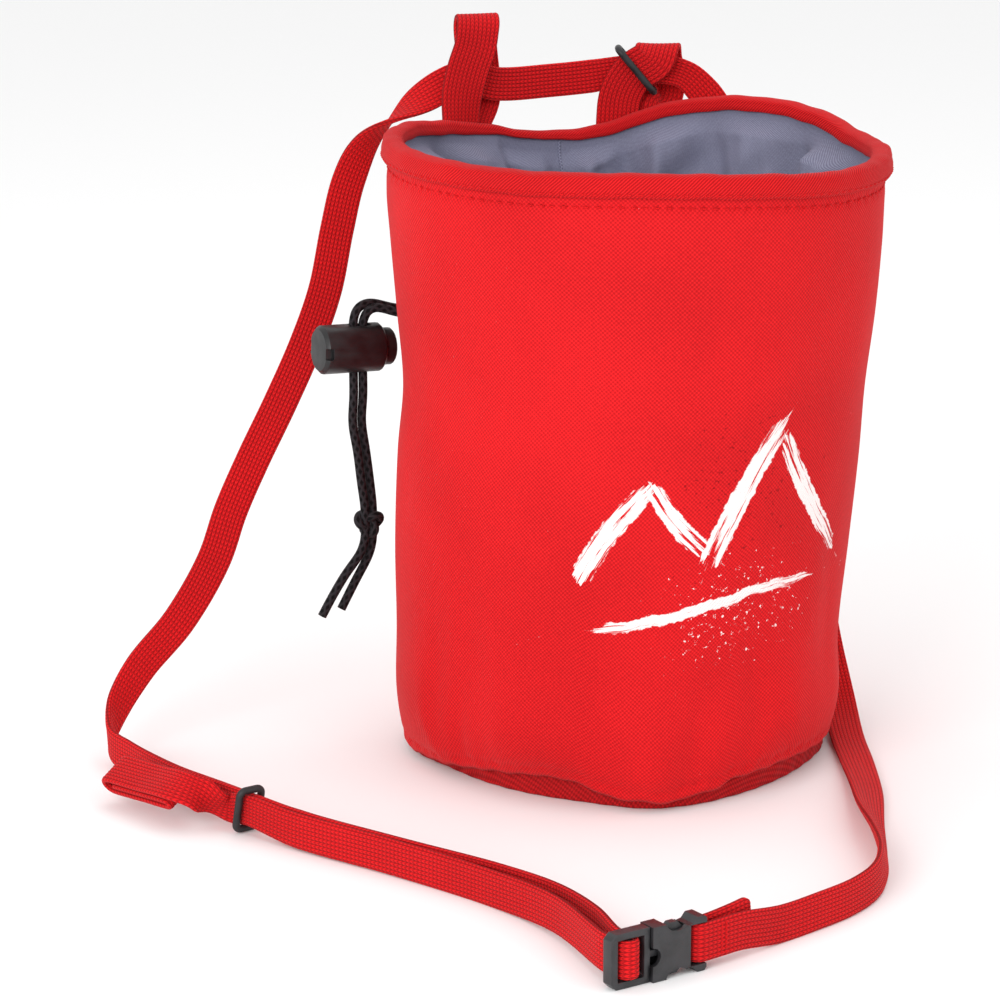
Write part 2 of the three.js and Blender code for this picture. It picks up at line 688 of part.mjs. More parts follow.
// The belt's tail is folded in three and sewn: top layer, bottom layer and one between
const foldFrom = { x: -1.7, y: -1.05, low: 0.045 };
const foldTo = { x: -2.01, y: -0.71, low: 0.034 };
const foldTilt = 58;

function tailFoldStations() {
  const corner = (row) => new THREE.Vector3(
    row.x * mouthRadius, row.y * mouthRadius, floorGap + row.low * bagHeight);
  const from = corner(foldFrom);
  const along = corner(foldTo).sub(from).normalize();
  const turnFlat = (Math.atan2(along.y, along.x) * 180) / Math.PI;
  const upFace = facing(turnFlat + 90, foldTilt);
  upFace.addScaledVector(along, -upFace.dot(along)).normalize();
  const place = (a, k) => from.clone().addScaledVector(along, a).addScaledVector(upFace, k * layerPitch);
  const flat = (a, k, side) => station(place(a, k), upFace.clone().multiplyScalar(-side));
  const bend = (a, k, radius, fromTurn, toTurn, parts) => {
    const stations = [];
    for (let i = 0; i <= parts; i += 1) {
      const turn = degrees(fromTurn + ((toTurn - fromTurn) * i) / parts);
      const out = along.clone().multiplyScalar(Math.cos(turn)).addScaledVector(upFace, Math.sin(turn));
      const point = place(a, k).addScaledVector(out, radius);
      stations.push(station(point, out.negate()));
    }
    return stations;
  };
  const outerEnd = tailFoldLength - layerPitch;
  return [
    flat(0, 2, 1),
    flat(0.5 * tailFoldLength, 2, 1),
    ...bend(outerEnd, 1, layerPitch, 90, -90, 6),
    flat(0.5 * tailFoldLength, 0, -1),
    ...bend(2 * layerPitch, 0.5, layerPitch / 2, 270, 90, 4),
    flat(0.5 * tailFoldLength, 1, 1),
    flat(outerEnd - 0.6 * layerPitch, 1, 1),
  ];
}

const beltInRight = beltInLoop(loops.right, 0.66, 0.42, ringPinch);
const beltInLeft = beltInLoop(loops.left, 0.4, 0.15, 1);
const ringStation = routeStation(ringRow);
ringStation.point.z = floorGap + ringWire + 2 * cordGap + (beltWidth * ringPinch) / 2;

function beltStations() {
  return [
    ...sewnEndStations(),
    ...frontRows.map(routeStation),
    ...climbRows.map(routeStation),
    beltInRight,
    ...betweenRows.map(routeStation),
    beltInLeft,
    ...archRows.map(routeStation),
    ringStation,
    ...pairedRows.map(routeStation),
    ...openRows.map(routeStation),
    ...weaveStations(),
    ...tailRows.map(routeStation).map((s) => station(s.point, s.face.negate())),
    ...pairedRows.map(routeStation).reverse().map(frontLayer),
    frontLayer(ringStation),
    frontLayer(routeStation(besideRingRow)),
    ...tailFoldStations(),
  ];
}

// A rubber ring: a round wire around a rounded rectangle across the straps that it holds
function keeperRingGeometry(middle, across, through, width, depth) {
  const corner = 2 * cordGap;
  const halfWidth = width / 2 + cordGap + ringWire / 2;
  const halfDepth = depth / 2 + cordGap + ringWire / 2;
  const round = corner + ringWire / 2;
  const path = [];
  for (const [a, d, start] of [[1, 1, 0], [-1, 1, 90], [-1, -1, 180], [1, -1, 270]]) {
    for (const turn of [0, 30, 60, 90]) {
      const angle = degrees(start + turn);
      path.push({
        out: [Math.cos(angle), Math.sin(angle)],
        at: [a * (halfWidth - round), d * (halfDepth - round)],
      });
    }
  }
  const normal = new THREE.Vector3().crossVectors(through, across).normalize();
  return ringMesh(wireSides, path.length, (j, i) => {
    const turn = (2 * Math.PI * j) / wireSides;
    const { out, at } = path[i];
    const reach = round + (ringWire / 2) * Math.cos(turn);
    return middle.clone()
      .addScaledVector(across, at[0] + reach * out[0])
      .addScaledVector(through, at[1] + reach * out[1])
      .addScaledVector(normal, (-ringWire / 2) * Math.sin(turn));
  });
}

function frontRingGeometry() {
  const middle = ringStation.point.clone().addScaledVector(ringStation.face, layerPitch / 2);
  const across = new THREE.Vector3(0, 0, Math.cos(degrees(frontRingLean)))
    .addScaledVector(facing(ringRow.turn + 90, 0), Math.sin(degrees(frontRingLean)));
  return keeperRingGeometry(middle, across, ringStation.face,
    beltWidth * ringPinch + 2 * cordGap, beltThickness + layerPitch);
}

function topRingGeometry() {
  const through = facing(loops.right.turn, 0);
  const across = facing(loops.right.turn + 90, -topRingLean);
  const middle = beltInRight.point.clone().addScaledVector(through, (loopThickness + sewnGap + loopEase) / 2);
  return keeperRingGeometry(middle, across, through,
    loopWidth + 2 * loopEase, beltThickness + loopThickness + sewnGap + loopEase);
}

// The side-release buckle, fastened: the male part's arms stand inside the female part

const buckleFrame = new THREE.Matrix4().makeBasis(buckleAlong, new THREE.Vector3(0, 0, 1), buckleFront);
buckleFrame.setPosition(inBuckle(0, 0));

// A plate of the buckle: an outline in u and w, centred on n
function plate(shape, thickness) {
  const settings = { depth: thickness, bevelEnabled: false, curveSegments: 4 };
  return new THREE.ExtrudeGeometry(shape, settings).translate(0, 0, -thickness / 2);
}

function block(fromU, toU, fromW, toW, thickness) {
  const geometry = new THREE.BoxGeometry(toU - fromU, toW - fromW, thickness);
  return geometry.translate((fromU + toU) / 2, (fromW + toW) / 2, 0);
}

// A round bar across one of the buckle's windows
function crossBar(u, height) {
  const bar = new THREE.CylinderGeometry(buckleBar / 2, buckleBar / 2, height, 10);
  return bar.translate(u, 0, 0);
}

const halfHeight = buckleHeight / 2;
const windowHalf = beltWidth / 2 + sewnGap;
const maleEnd = -buckleShoulder - 2 * buckleSlot - 2 * buckleBar;

function outlineOf(points) {
  const shape = new THREE.Shape();
  shape.setFromPoints(points.map(([u, w]) => new THREE.Vector2(u, w)));
  return shape;
}

function joined(base, additions, cutters) {
  let body = toSolid(base);
  for (const addition of additions) body = body.add(toSolid(addition));
  for (const cutter of cutters) body = body.subtract(toSolid(cutter));
  return fromSolid(body);
}

const armPlace = halfHeight - femaleWall - prongGap - prongWidth / 2;

function buckleMaleGeometry() {
  const cut = 1.4;
  const outline = outlineOf([
    [0, -halfHeight], [0, halfHeight], [maleEnd + cut, halfHeight], [maleEnd, halfHeight - cut],
    [maleEnd, cut - halfHeight], [maleEnd + cut, -halfHeight],
  ]);
  const window = block(maleEnd + buckleBar, -buckleShoulder, -windowHalf, windowHalf, 2 * maleThickness);
  const bar = crossBar(maleBarU, 2 * windowHalf + buckleBar);
  const prongThickness = femaleThickness - 2 * femaleWall - 2 * prongGap;
  const arms = [-1, 1].map((side) => {
    const arm = outlineOf([
      [-0.5, armPlace - prongWidth / 2], [prongLength + 1.5, armPlace - prongWidth / 2],
      [prongLength + 1.5, armPlace], [0.93 * prongLength, halfHeight - 0.4],
      [0.7 * prongLength, halfHeight - 0.4], [0.58 * prongLength, armPlace + prongWidth / 2],
      [-0.5, armPlace + prongWidth / 2],
    ].map(([u, w]) => [u, side * w]));
    return plate(arm, prongThickness);
  });
  const guide = block(-0.5, 0.8 * prongLength, -0.9, 0.9, prongThickness);
  const frame = joined(plate(outline, maleThickness), [], [window]);
  return joined(frame, [bar, guide, ...arms], []).applyMatrix4(buckleFrame);
}

function buckleFemaleGeometry() {
  const start = prongGap;
  const waist = femaleLength - buckleBar - buckleSlot - 0.6;
  const outline = outlineOf([
    [start, -halfHeight], [start, halfHeight], [0.55 * waist, halfHeight], [0.82 * waist, 0.93 * halfHeight],
    [waist, 0.76 * halfHeight], [waist + 1.4, 0.8 * halfHeight], [waist + 2.6, halfHeight],
    [femaleLength - 0.6, halfHeight], [femaleLength, 0.9 * halfHeight],
    [femaleLength, -0.9 * halfHeight], [femaleLength - 0.6, -halfHeight], [waist + 2.6, -halfHeight],
    [waist + 1.4, -0.8 * halfHeight], [waist, -0.76 * halfHeight], [0.82 * waist, -0.93 * halfHeight],
    [0.55 * waist, -halfHeight],
  ]);
  const eyeFrom = femaleLength - buckleBar - buckleSlot;
  const eye = block(eyeFrom, femaleLength + 1, -windowHalf, windowHalf, 2 * femaleThickness);
  const bar = crossBar(femaleBarU, 2 * windowHalf + buckleBar);
  const cavityEnd = prongLength + 1.5 + prongGap;
  const cavity = block(start - 1, cavityEnd, femaleWall - halfHeight, halfHeight - femaleWall,
    femaleThickness - 2 * femaleWall);
  const scallops = [-1, 1].map((side) => {
    const round = new THREE.CylinderGeometry(1, 1, 2 * femaleThickness, 12);
    round.rotateX(Math.PI / 2).scale(0.4 * prongLength, 2.6, 1);
    return round.translate(0.85 * prongLength, side * (halfHeight + 0.4), 0);
  });
  const notch = new THREE.CylinderGeometry(2.3, 2.3, femaleThickness, 12);
  notch.rotateX(Math.PI / 2).translate(start, -0.6, femaleThickness / 2);
  const body = joined(plate(outline, femaleThickness), [], [eye, cavity, notch, ...scallops]);
  return joined(body, [bar], []).applyMatrix4(buckleFrame);
}

// The cord lock: s runs along its axis from the plunger's end near the bag to the closed end

const lockFrom = { x: -0.944, y: 0.282, z: 0.642 };
const lockTurn = 205;
const lockAxis = facing(lockTurn, 1.5);
const lockStart = new THREE.Vector3(
  lockFrom.x * mouthRadius, lockFrom.y * mouthRadius, lockFrom.z * bagHeight);
const cordAt = 10;
const cordPitch = cordDiameter + cordGap;
const slotWidth = cordDiameter + 2 * cordHoleGap;
const slotFrom = cordAt - (cordPitch + slotWidth) / 2;
const slotTo = cordAt + (cordPitch + slotWidth) / 2;
const barrelRadius = barrelDiameter / 2;
const boreRadius = barrelRadius - barrelWall;
const plungerRadius = boreRadius - plungerGap;
const barrelEnd = plungerOut + barrelLength;
const boreEnd = barrelEnd - barrelEndWall;
const plungerEnd = boreEnd - plungerTravel - plungerGap;

const onLock = (s) => lockStart.clone().addScaledVector(lockAxis, s);

function placeOnLock(geometry) {
  const turn = new THREE.Quaternion().setFromUnitVectors(new THREE.Vector3(0, 1, 0), lockAxis);
  return geometry.applyQuaternion(turn).translate(...lockStart.toArray());
}

function turnedAround(profile, segments) {
  const points = profile.map(([radius, along]) => new THREE.Vector2(radius, along));
  return placeOnLock(new THREE.LatheGeometry(points, segments));
}

// A slot through the lock from above to below, long enough for both cords
function cordSlot(from, to) {
  const box = new THREE.BoxGeometry(slotWidth, to - from, 2 * barrelDiameter);
  box.translate(0, (from + to) / 2, 0);
  return placeOnLock(box);
}

function lockBarrelGeometry() {
  const barrel = turnedAround([
    [0, boreEnd], [boreRadius, boreEnd], [boreRadius, plungerOut],
    [barrelRadius - 0.7, plungerOut], [barrelRadius, plungerOut + 0.7],
    [barrelRadius, barrelEnd - 1], [barrelRadius - 1, barrelEnd], [0, barrelEnd],
  ], 20);
  const notches = [-1, 1].map((side) => {
    const notch = new THREE.BoxGeometry(3, 4, 3.2);
    return placeOnLock(notch.translate(side * barrelRadius, barrelEnd, 0));
  });
  return cutFrom(barrel, [cordSlot(slotFrom, slotTo), ...notches]);
}

function lockPlungerGeometry() {
  const plunger = turnedAround([
    [0, 0], [plungerRadius - 0.6, 0], [plungerRadius, 0.6], [plungerRadius, plungerEnd], [0, plungerEnd],
  ], 20);
  return cutFrom(plunger, [cordSlot(slotFrom - plungerTravel, slotTo)]);
}

// The drawcord's two ends: from the wall through the lock and the knot to the bare tails

const knotAt = { x: -69.6, y: 12.8, z: 61.2 };
const knotTurn = 42;

function inKnot(side, height) {
  return new THREE.Vector3(knotAt.x, knotAt.y, knotAt.z + height)
    .addScaledVector(facing(knotTurn, 0), (side * cordPitch) / 2);
}

const cordRoutes = {
  drawcord_a: { hole: cordHoles[0], side: -1, before: [
    [-62, 22.6, 120.2], [-66, 20, 121.8], [-70, 17, 122.9], [-72.8, 14.6, 121.4],
  ], between: [
    [-73.5, 12.4, 97], [-73.9, 11.8, 90], [-72.6, 11.6, 82], [-71.6, 11.6, 73],
  ], after: [
    [-71.8, 11.4, 53], [-75.8, 10.6, 47.5], [-80, 9.6, 40.5], [-82.8, 9, 35.2],
  ] },
  drawcord_b: { hole: cordHoles[1], side: 1, before: [
    [-63.6, 17.6, 120], [-67, 16.6, 120.6], [-69.9, 15.4, 120],
  ], between: [
    [-71, 14.6, 97], [-71.5, 14.2, 90], [-70.4, 14.1, 82], [-69.3, 13.8, 73],
  ], after: [
    [-69.4, 13.6, 52.5], [-73, 13, 45.5], [-75.8, 12.2, 40], [-77.5, 11.6, 36.6],
  ] },
};

function cordPoints(route) {
  const inLock = onLock(cordAt - (route.side * cordPitch) / 2);
  const above = (height) => inLock.clone().add(new THREE.Vector3(0, 0, height));
  return [
    onWall(route.hole.angle, route.hole.z, -wallThickness),
    onWall(route.hole.angle, route.hole.z, cordDiameter),
    ...route.before.map((point) => new THREE.Vector3(...point)),
    above(barrelRadius), above(0), above(-barrelRadius),
    ...route.between.map((point) => new THREE.Vector3(...point)),
    inKnot(route.side, 0.5 * knotHeight), inKnot(route.side, 0), inKnot(route.side, -0.5 * knotHeight),
    ...route.after.map((point) => new THREE.Vector3(...point)),
  ];
}

function cordGeometry(route) {
  const path = new THREE.CatmullRomCurve3(cordPoints(route), false, 'centripetal');
  const section = new THREE.Shape();
  section.absarc(0, 0, cordDiameter / 2, 0, 2 * Math.PI);
  const steps = Math.round(path.getLength() / cordStep);
  return new THREE.ExtrudeGeometry(section, { steps, extrudePath: path, curveSegments: cordSides / 2 });
}

// The knot that holds both ends together, lumpy, with a way through for each cord
function cordKnotGeometry() {
  const core = new THREE.SphereGeometry(1, 10, 7);
  core.rotateX(Math.PI / 2).scale(0.46 * knotDiameter, 0.42 * knotDiameter, 0.5 * knotHeight);
  const turns = [25, -30].map((tilt, k) => {
    const turn = new THREE.TorusGeometry(0.33 * knotDiameter, 0.55 * cordDiameter, 6, 12);
    return turn.rotateX(degrees(tilt)).rotateY(degrees(tilt)).translate(0, 0, (k - 0.5) * 0.42 * knotHeight);
  });
  const ways = [-1, 1].map((side) => {
    const way = new THREE.CylinderGeometry(slotWidth / 2, slotWidth / 2, 2 * knotHeight, cordSides);
    return way.rotateX(Math.PI / 2).translate((side * cordPitch) / 2, 0, 0);
  });
  const knot = joined(core, turns, ways);
  return knot.rotateZ(degrees(knotTurn)).translate(knotAt.x, knotAt.y, knotAt.z);
}

const group = new THREE.Group();

function addPiece(name, geometry, finish) {
  const piece = new THREE.Mesh(geometry, new THREE.MeshStandardMaterial(finish));
  piece.name = name;
  group.add(piece);
}

const loopStrap = (loop) => strapGeometry(loopStations(loop), loopWidth, loopThickness, beltStep);

addPiece('bag_wall', cutFrom(bagWallGeometry(), cordHoles.map(cordHoleCutter)), red);
addPiece('base_panel', basePanelGeometry(), darkRed);
addPiece('lining', liningGeometry(), liningGrey);
addPiece('rim_binding', rimBindingGeometry(), bindingRed);
addPiece('belt_loop_left', loopStrap(loops.left), beltRed);
addPiece('belt_loop_right', loopStrap(loops.right), beltRed);
addPiece('belt_webbing', strapGeometry(beltStations(), beltWidth, beltThickness, beltStep), beltRed);
addPiece('keeper_ring_front', frontRingGeometry(), rubberBlack);
addPiece('keeper_ring_top', topRingGeometry(), rubberBlack);
addPiece('buckle_male', buckleMaleGeometry(), plasticBlack);
addPiece('buckle_female', buckleFemaleGeometry(), plasticBlack);
addPiece('cord_lock_barrel', lockBarrelGeometry(), plasticBlack);
addPiece('cord_lock_plunger', lockPlungerGeometry(), plasticBlack);
for (const [name, route] of Object.entries(cordRoutes)) addPiece(name, cordGeometry(route), cordBlack);
addPiece('cord_knot', cordKnotGeometry(), cordBlack);

export default group;
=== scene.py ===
"""Looks of a climbing chalk bag: cloth, lining, webbing, buckle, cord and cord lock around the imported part.

The shapes are worked out in millimetres from the part's own sizes and put into meshes in metres.
X runs to the right, Y away from the front and Z up, from the centre of the bag's base.
"""

import math

import bmesh
import bpy
import numpy as np
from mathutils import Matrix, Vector


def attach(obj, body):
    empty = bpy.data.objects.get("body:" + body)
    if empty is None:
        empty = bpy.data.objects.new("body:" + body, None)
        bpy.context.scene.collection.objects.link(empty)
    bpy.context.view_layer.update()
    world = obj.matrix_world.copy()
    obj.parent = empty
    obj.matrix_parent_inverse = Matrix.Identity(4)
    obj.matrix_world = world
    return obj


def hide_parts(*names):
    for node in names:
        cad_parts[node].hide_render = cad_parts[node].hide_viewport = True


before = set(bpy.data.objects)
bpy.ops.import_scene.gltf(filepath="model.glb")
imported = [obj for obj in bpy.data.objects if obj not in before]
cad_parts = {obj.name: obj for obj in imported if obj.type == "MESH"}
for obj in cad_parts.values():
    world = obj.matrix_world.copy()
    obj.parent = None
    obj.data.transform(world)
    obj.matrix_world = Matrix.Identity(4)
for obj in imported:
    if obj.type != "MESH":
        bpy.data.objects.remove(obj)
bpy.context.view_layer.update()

MM = 0.001
BAG, PLUNGER = "bag", "lock_plunger"

# Sizes of the bag, in millimetres
bag_height = 172.0
mouth_radius = 67.0
wall_thickness = 1.6
lining_thickness = 1.0
base_thickness = 1.6
base_rise = 5.0
base_corner = 1.5
binding_height = 6.0
binding_thickness = 0.9
sewn_gap = 0.35

# Sizes of the straps and rings
belt_width = 9.5
belt_thickness = 1.8
floor_gap = 0.1
loop_width = 12.2
loop_thickness = 1.4
loop_sewn_length = 18.0
loop_spread = 7.4
loop_ease = 0.5
ring_wire = 2.0
ring_pinch = 0.86
top_ring_lean = 50.0
front_ring_lean = 14.0
tab_length = 16.0
tab_rise = 2.4
tail_fold_length = 31.0
layer_pitch = belt_thickness + sewn_gap

# Sizes of the buckle
buckle_height = 13.6
buckle_bar = 1.9
buckle_slot = 2.8
buckle_shoulder = 1.6
female_length = 16.0

# Sizes of the cord lock and cord
cord_diameter = 2.5
cord_gap = 0.3
barrel_diameter = 13.6
knot_diameter = 8.2
knot_height = 8.6

# The rim's top edge: angle, height in bag heights
rim_rows = np.array([
    (0, 0.984), (21, 0.987), (39, 1.009), (57, 1.017), (73, 1.009), (85, 0.991), (97, 0.963), (113, 0.956),
    (130, 0.977), (143, 0.99), (163, 1.003), (200, 1), (240, 0.997), (270, 0.999), (296, 0.992), (316, 0.983),
    (339, 0.981)])

# The upright profile: height in bag heights, centre and radius in mouth radii
profile_rows = np.array([
    (0, -0.004, 0.9), (0.06, -0.004, 0.915), (0.12, -0.005, 0.92), (0.21, -0.009, 0.912), (0.35, 0.004, 0.93),
    (0.5, 0.028, 0.942), (0.61, 0.049, 0.941), (0.73, 0.058, 0.969), (0.84, 0.058, 0.99), (0.92, 0.054, 1),
    (1.05, 0.063, 1.005)])

# The bottom edge: angle, base radius and hem radius in mouth radii, hem height in bag heights
hem_rows = np.array([
    (8, 0.875, 0.895, 0.03), (40, 0.855, 0.885, 0.032), (90, 0.84, 0.875, 0.032), (135, 0.845, 0.88, 0.028),
    (165, 0.85, 0.885, 0.02), (187, 0.84, 0.88, 0.014), (202, 0.77, 0.82, 0.013), (220, 0.745, 0.805, 0.026),
    (240, 0.747, 0.8, 0.038), (256, 0.765, 0.82, 0.037), (266, 0.8, 0.855, 0.023), (277, 0.845, 0.895, 0.015),
    (292, 0.835, 0.88, 0.023), (302, 0.812, 0.855, 0.035), (320, 0.795, 0.848, 0.04),
    (340, 0.81, 0.86, 0.036)])

# Dents of the wall: angle, its spread, height, its spread in bag heights, depth in mouth radii
dent_rows = np.array([
    (222, 12, 0.13, 0.13, -0.03), (246, 13, 0.2, 0.16, 0.012), (277, 12, 0.07, 0.1, 0.02),
    (303, 12, 0.14, 0.12, -0.022), (326, 14, 0.3, 0.12, 0.012), (284, 30, 0.55, 0.2, 0.012),
    (170, 22, 0.6, 0.07, -0.004), (120, 26, 0.45, 0.2, -0.02), (70, 20, 0.62, 0.2, 0.014),
    (40, 16, 0.25, 0.16, -0.018)])

# Creases that show in the cloth: angle, spread in degrees, height, spread in bag heights,
# lean in degrees per bag height, depth in millimetres
crease_rows = np.array([
    (214, 3.5, 0.16, 0.12, 20, -0.7), (229, 4.5, 0.24, 0.16, -14, -0.5), (238, 5, 0.1, 0.08, 30, 0.5),
    (262, 5, 0.09, 0.06, -40, -0.6), (287, 4, 0.1, 0.07, 30, -0.5), (307, 4, 0.17, 0.1, -25, -0.8),
    (318, 5, 0.12, 0.09, 10, 0.6), (333, 5, 0.3, 0.14, -20, -0.5), (345, 6, 0.14, 0.1, 0, 0.5),
    (277, 6, 0.05, 0.15, -30, 1.0), (267, 6, 0.1, 0.13, -25, -1.0), (289, 5, 0.1, 0.12, 25, -0.8),
    (318, 4, 0.07, 0.06, -60, -0.8), (308, 3.5, 0.06, 0.07, 50, 0.7), (221, 3, 0.08, 0.09, 35, -0.9),
    (211, 3.5, 0.05, 0.08, -30, 0.8), (200, 6, 0.5, 0.2, 10, -0.35), (300, 9, 0.7, 0.2, 8, 0.35),
    (250, 9, 0.62, 0.25, -6, 0.3)])

# Where the lining's pockets lie round the mouth: angle, running count of folds
pocket_rows = np.array([
    (15, 0), (41, 1), (68, 2), (90, 3), (109, 4), (126, 5), (150, 6), (175, 7), (201, 8), (226, 9), (250, 10),
    (276, 11), (303, 12), (329, 13), (352, 14)])
pocket_count = 15
seam_angle = 108.0
lining_clear = wall_thickness + sewn_gap + 0.2
fold_depth = 13.0
flap_lift = 4.6
section_points = 34
grain_scale = 260.0


def from_rows(rows, column, at, period=0.0):
    """A table's column at the given keys: a smooth cubic through the rows, wrapping round with a period."""
    at = np.asarray(at, float)
    rows = np.asarray(rows, float)
    if period:
        before, after = rows[-2:].copy(), rows[:3].copy()
        before[:, 0] -= period
        after[:, 0] += period
        at = (at - rows[0, 0]) % period + rows[0, 0]
        rows = np.vstack([before, rows, after])
    else:
        at = np.clip(at, rows[0, 0], rows[-1, 0])
        rows = np.vstack([rows[:1], rows, rows[-1:]])
    i = np.clip(np.searchsorted(rows[:, 0], at, side="right") - 1, 1, len(rows) - 3)
    key, value = rows[:, 0], rows[:, column]
    span = key[i + 1] - key[i]
    t = (at - key[i]) / span
    slope_a = (value[i + 1] - value[i - 1]) / np.maximum(key[i + 1] - key[i - 1], span)
    slope_b = (value[i + 2] - value[i]) / np.maximum(key[i + 2] - key[i], span)
    t2, t3 = t * t, t * t * t
    return ((2 * t3 - 3 * t2 + 1) * value[i] + (t3 - 2 * t2 + t) * span * slope_a
            + (3 * t2 - 2 * t3) * value[i + 1] + (t3 - t2) * span * slope_b)


def bell(distance, spread):
    """A smooth bump: e to the minus square of distance over spread."""
    return np.exp(-(distance / spread) ** 2)


def angle_between(a, b):
    """Signed difference of two angles in degrees."""
    return (a - b + 540) % 360 - 180


def rim_top(angle):
    return bag_height * from_rows(rim_rows, 1, angle, 360)


def hem_height(angle):
    return bag_height * from_rows(hem_rows, 3, angle, 360)


def base_radius(angle):
    return mouth_radius * from_rows(hem_rows, 1, angle, 360)


def centre_at(z):
    return mouth_radius * from_rows(profile_rows, 1, z / bag_height)


def wall_radius(angle, z):
    """The profile's radius, drawn to the hem's radius low down, with its dents as bells added on."""
    plain = mouth_radius * from_rows(profile_rows, 2, z / bag_height)
    hem = hem_height(angle)
    above = np.clip((z - hem) / (0.13 * bag_height), 0, 1)
    plain = plain + (mouth_radius * from_rows(hem_rows, 2, angle, 360) - plain) * (1 - above) ** 3
    dents = 0.0
    for at, wide, height, tall, depth in dent_rows:
        dents = dents + depth * bell(angle_between(angle, at), wide) * bell(z / bag_height - height, tall)
    return plain + mouth_radius * dents * np.minimum(above * 3, 1)


def around_bag(angle, radius, z):
    """Points at a radius and height around the bag's middle line, as an array of x, y, z."""
    turn = np.radians(angle)
    return np.stack(np.broadcast_arrays(centre_at(z) + radius * np.cos(turn), radius * np.sin(turn), z), -1)


def on_wall(angle, z, outward=0.0):
    return around_bag(angle, wall_radius(angle, z) + outward, np.asarray(z, float))


def creases(angle, z):
    """Creases and slow waves of the cloth in millimetres: leaning bells, and a few slow sines."""
    share = z / bag_height
    total = (0.16 * np.sin(np.radians(7 * angle) + 5 * share)
             + 0.12 * np.sin(np.radians(11 * angle) - 9 * share))
    for at, wide, height, tall, lean, depth in crease_rows:
        ridge = angle_between(angle, at + lean * (share - height))
        total = total + depth * bell(ridge, wide) * bell(share - height, tall)
    return total


# ---- meshes ----


def added(name, data):
    """A new object in the scene."""
    thing = bpy.data.objects.new(name, data)
    bpy.context.collection.objects.link(thing)
    return thing


def grid(u, v):
    """A uv grid from what runs along and what runs across."""
    return np.stack(np.broadcast_arrays(u, v), -1)


def surface(name, points, uv, material, close_across=False, close_along=False, caps=None, nodes=()):
    """A piece from a grid of points in millimetres: quads between neighbours, closed across or along where
    asked. caps are lists of faces in terms of grid places. The uv grid goes to the map named cloth."""
    rows, columns = points.shape[:2]
    place = np.arange(rows * columns).reshape(rows, columns)
    if close_along:
        place = np.vstack([place, place[:1]])
    if close_across:
        place = np.hstack([place, place[:, :1]])
    quads = np.stack([place[:-1, :-1], place[:-1, 1:], place[1:, 1:], place[1:, :-1]], -1).reshape(-1, 4)
    r, c = np.meshgrid(np.arange(place.shape[0]), np.arange(place.shape[1]), indexing="ij")
    corners = np.stack([r[:-1, :-1], r[:-1, 1:], r[1:, 1:], r[1:, :-1]], -1).reshape(-1, 4)
    sides = np.stack([c[:-1, :-1], c[:-1, 1:], c[1:, 1:], c[1:, :-1]], -1).reshape(-1, 4)
    loops_uv = uv[corners.ravel(), sides.ravel()]
    faces = quads.tolist()
    extra_points, extra_uv = [], []
    for cap in caps or []:
        for face, face_uv in cap(rows, columns, points, uv, extra_points):
            faces.append(face)
            extra_uv.extend(face_uv)
    if extra_uv:
        loops_uv = np.vstack([loops_uv, np.array(extra_uv)])
    vertices = points.reshape(-1, 3)
    if extra_points:
        vertices = np.vstack([vertices, np.array(extra_points)])
    return make_piece(name, vertices, faces, loops_uv, material, BAG, nodes)


def turned_in(vertices, faces):
    """True if a closed shell's faces look inwards: the sum of its corner tetrahedra is negative."""
    a = np.array([f[:3] for f in faces])
    b = np.array([[f[0], f[2], f[3]] for f in faces if len(f) == 4])
    corners = vertices[np.vstack([a, b]) if len(b) else a]
    return np.einsum("ij,ij->", corners[:, 0], np.cross(corners[:, 1], corners[:, 2])) < 0


def make_piece(name, vertices, faces, loops_uv, material, body, nodes):
    """A mesh object at the origin from points in millimetres, with its uv, its finish and its body."""
    if turned_in(vertices, faces):
        faces = [face[::-1] for face in faces]
        sizes = np.array([len(face) for face in faces])
        start = np.concatenate([[0], np.cumsum(sizes)[:-1]])
        order = np.concatenate([np.arange(s + n - 1, s - 1, -1) for s, n in zip(start, sizes)])
        loops_uv = loops_uv[order]
    mesh = bpy.data.meshes.new(name)
    mesh.from_pydata((vertices * MM).tolist(), [], faces)
    layer = mesh.uv_layers.new(name="cloth")
    layer.data.foreach_set("uv", np.asarray(loops_uv, np.float32).ravel())
    mesh.materials.append(material)
    mesh.polygons.foreach_set("use_smooth", np.ones(len(mesh.polygons), bool))
    mesh.update()
    piece = added(name, mesh)
    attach(piece, body)
    if nodes:
        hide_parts(*nodes)
    return piece


def pole(row, flip):
    """Closes the end of a tube of rings at its middle with a fan: row 0 or -1 of the grid."""
    def faces(rows, columns, points, uv, extra):
        index = rows * columns + len(extra)
        line = row % rows
        extra.append(points[line].mean(0))
        ring = [line * columns + j for j in range(columns)]
        found = []
        for j in range(columns):
            a, b = ring[j], ring[(j + 1) % columns]
            face = [index, b, a] if flip else [index, a, b]
            found.append((face, [uv[line, min(j, uv.shape[1] - 1)]] * 3))
        return found
    return faces


def flat_end(row, flip):
    """Closes the end of a strap with quads between its two faces."""
    def faces(rows, columns, points, uv, extra):
        line = (row % rows) * columns
        half = columns // 2
        found = []
        for j in range(half - 1):
            face = [line + j, line + j + 1, line + columns - 2 - j, line + columns - 1 - j]
            if flip:
                face = face[::-1]
            found.append((face, [uv[row % rows, j]] * 4))
        return found
    return faces


# ---- straps: a flat section carried along a path of stations ----


def cos_sin(degrees):
    return math.cos(math.radians(degrees)), math.sin(math.radians(degrees))


def facing(turn, tilt=0.0):
    """The direction at a turn from +X and a tilt above level, in degrees."""
    flat, up = cos_sin(tilt)
    c, s = cos_sin(turn)
    return np.array([flat * c, flat * s, up])


def station(point, face, width=1.0):
    return np.asarray(point, float), np.asarray(face, float), width


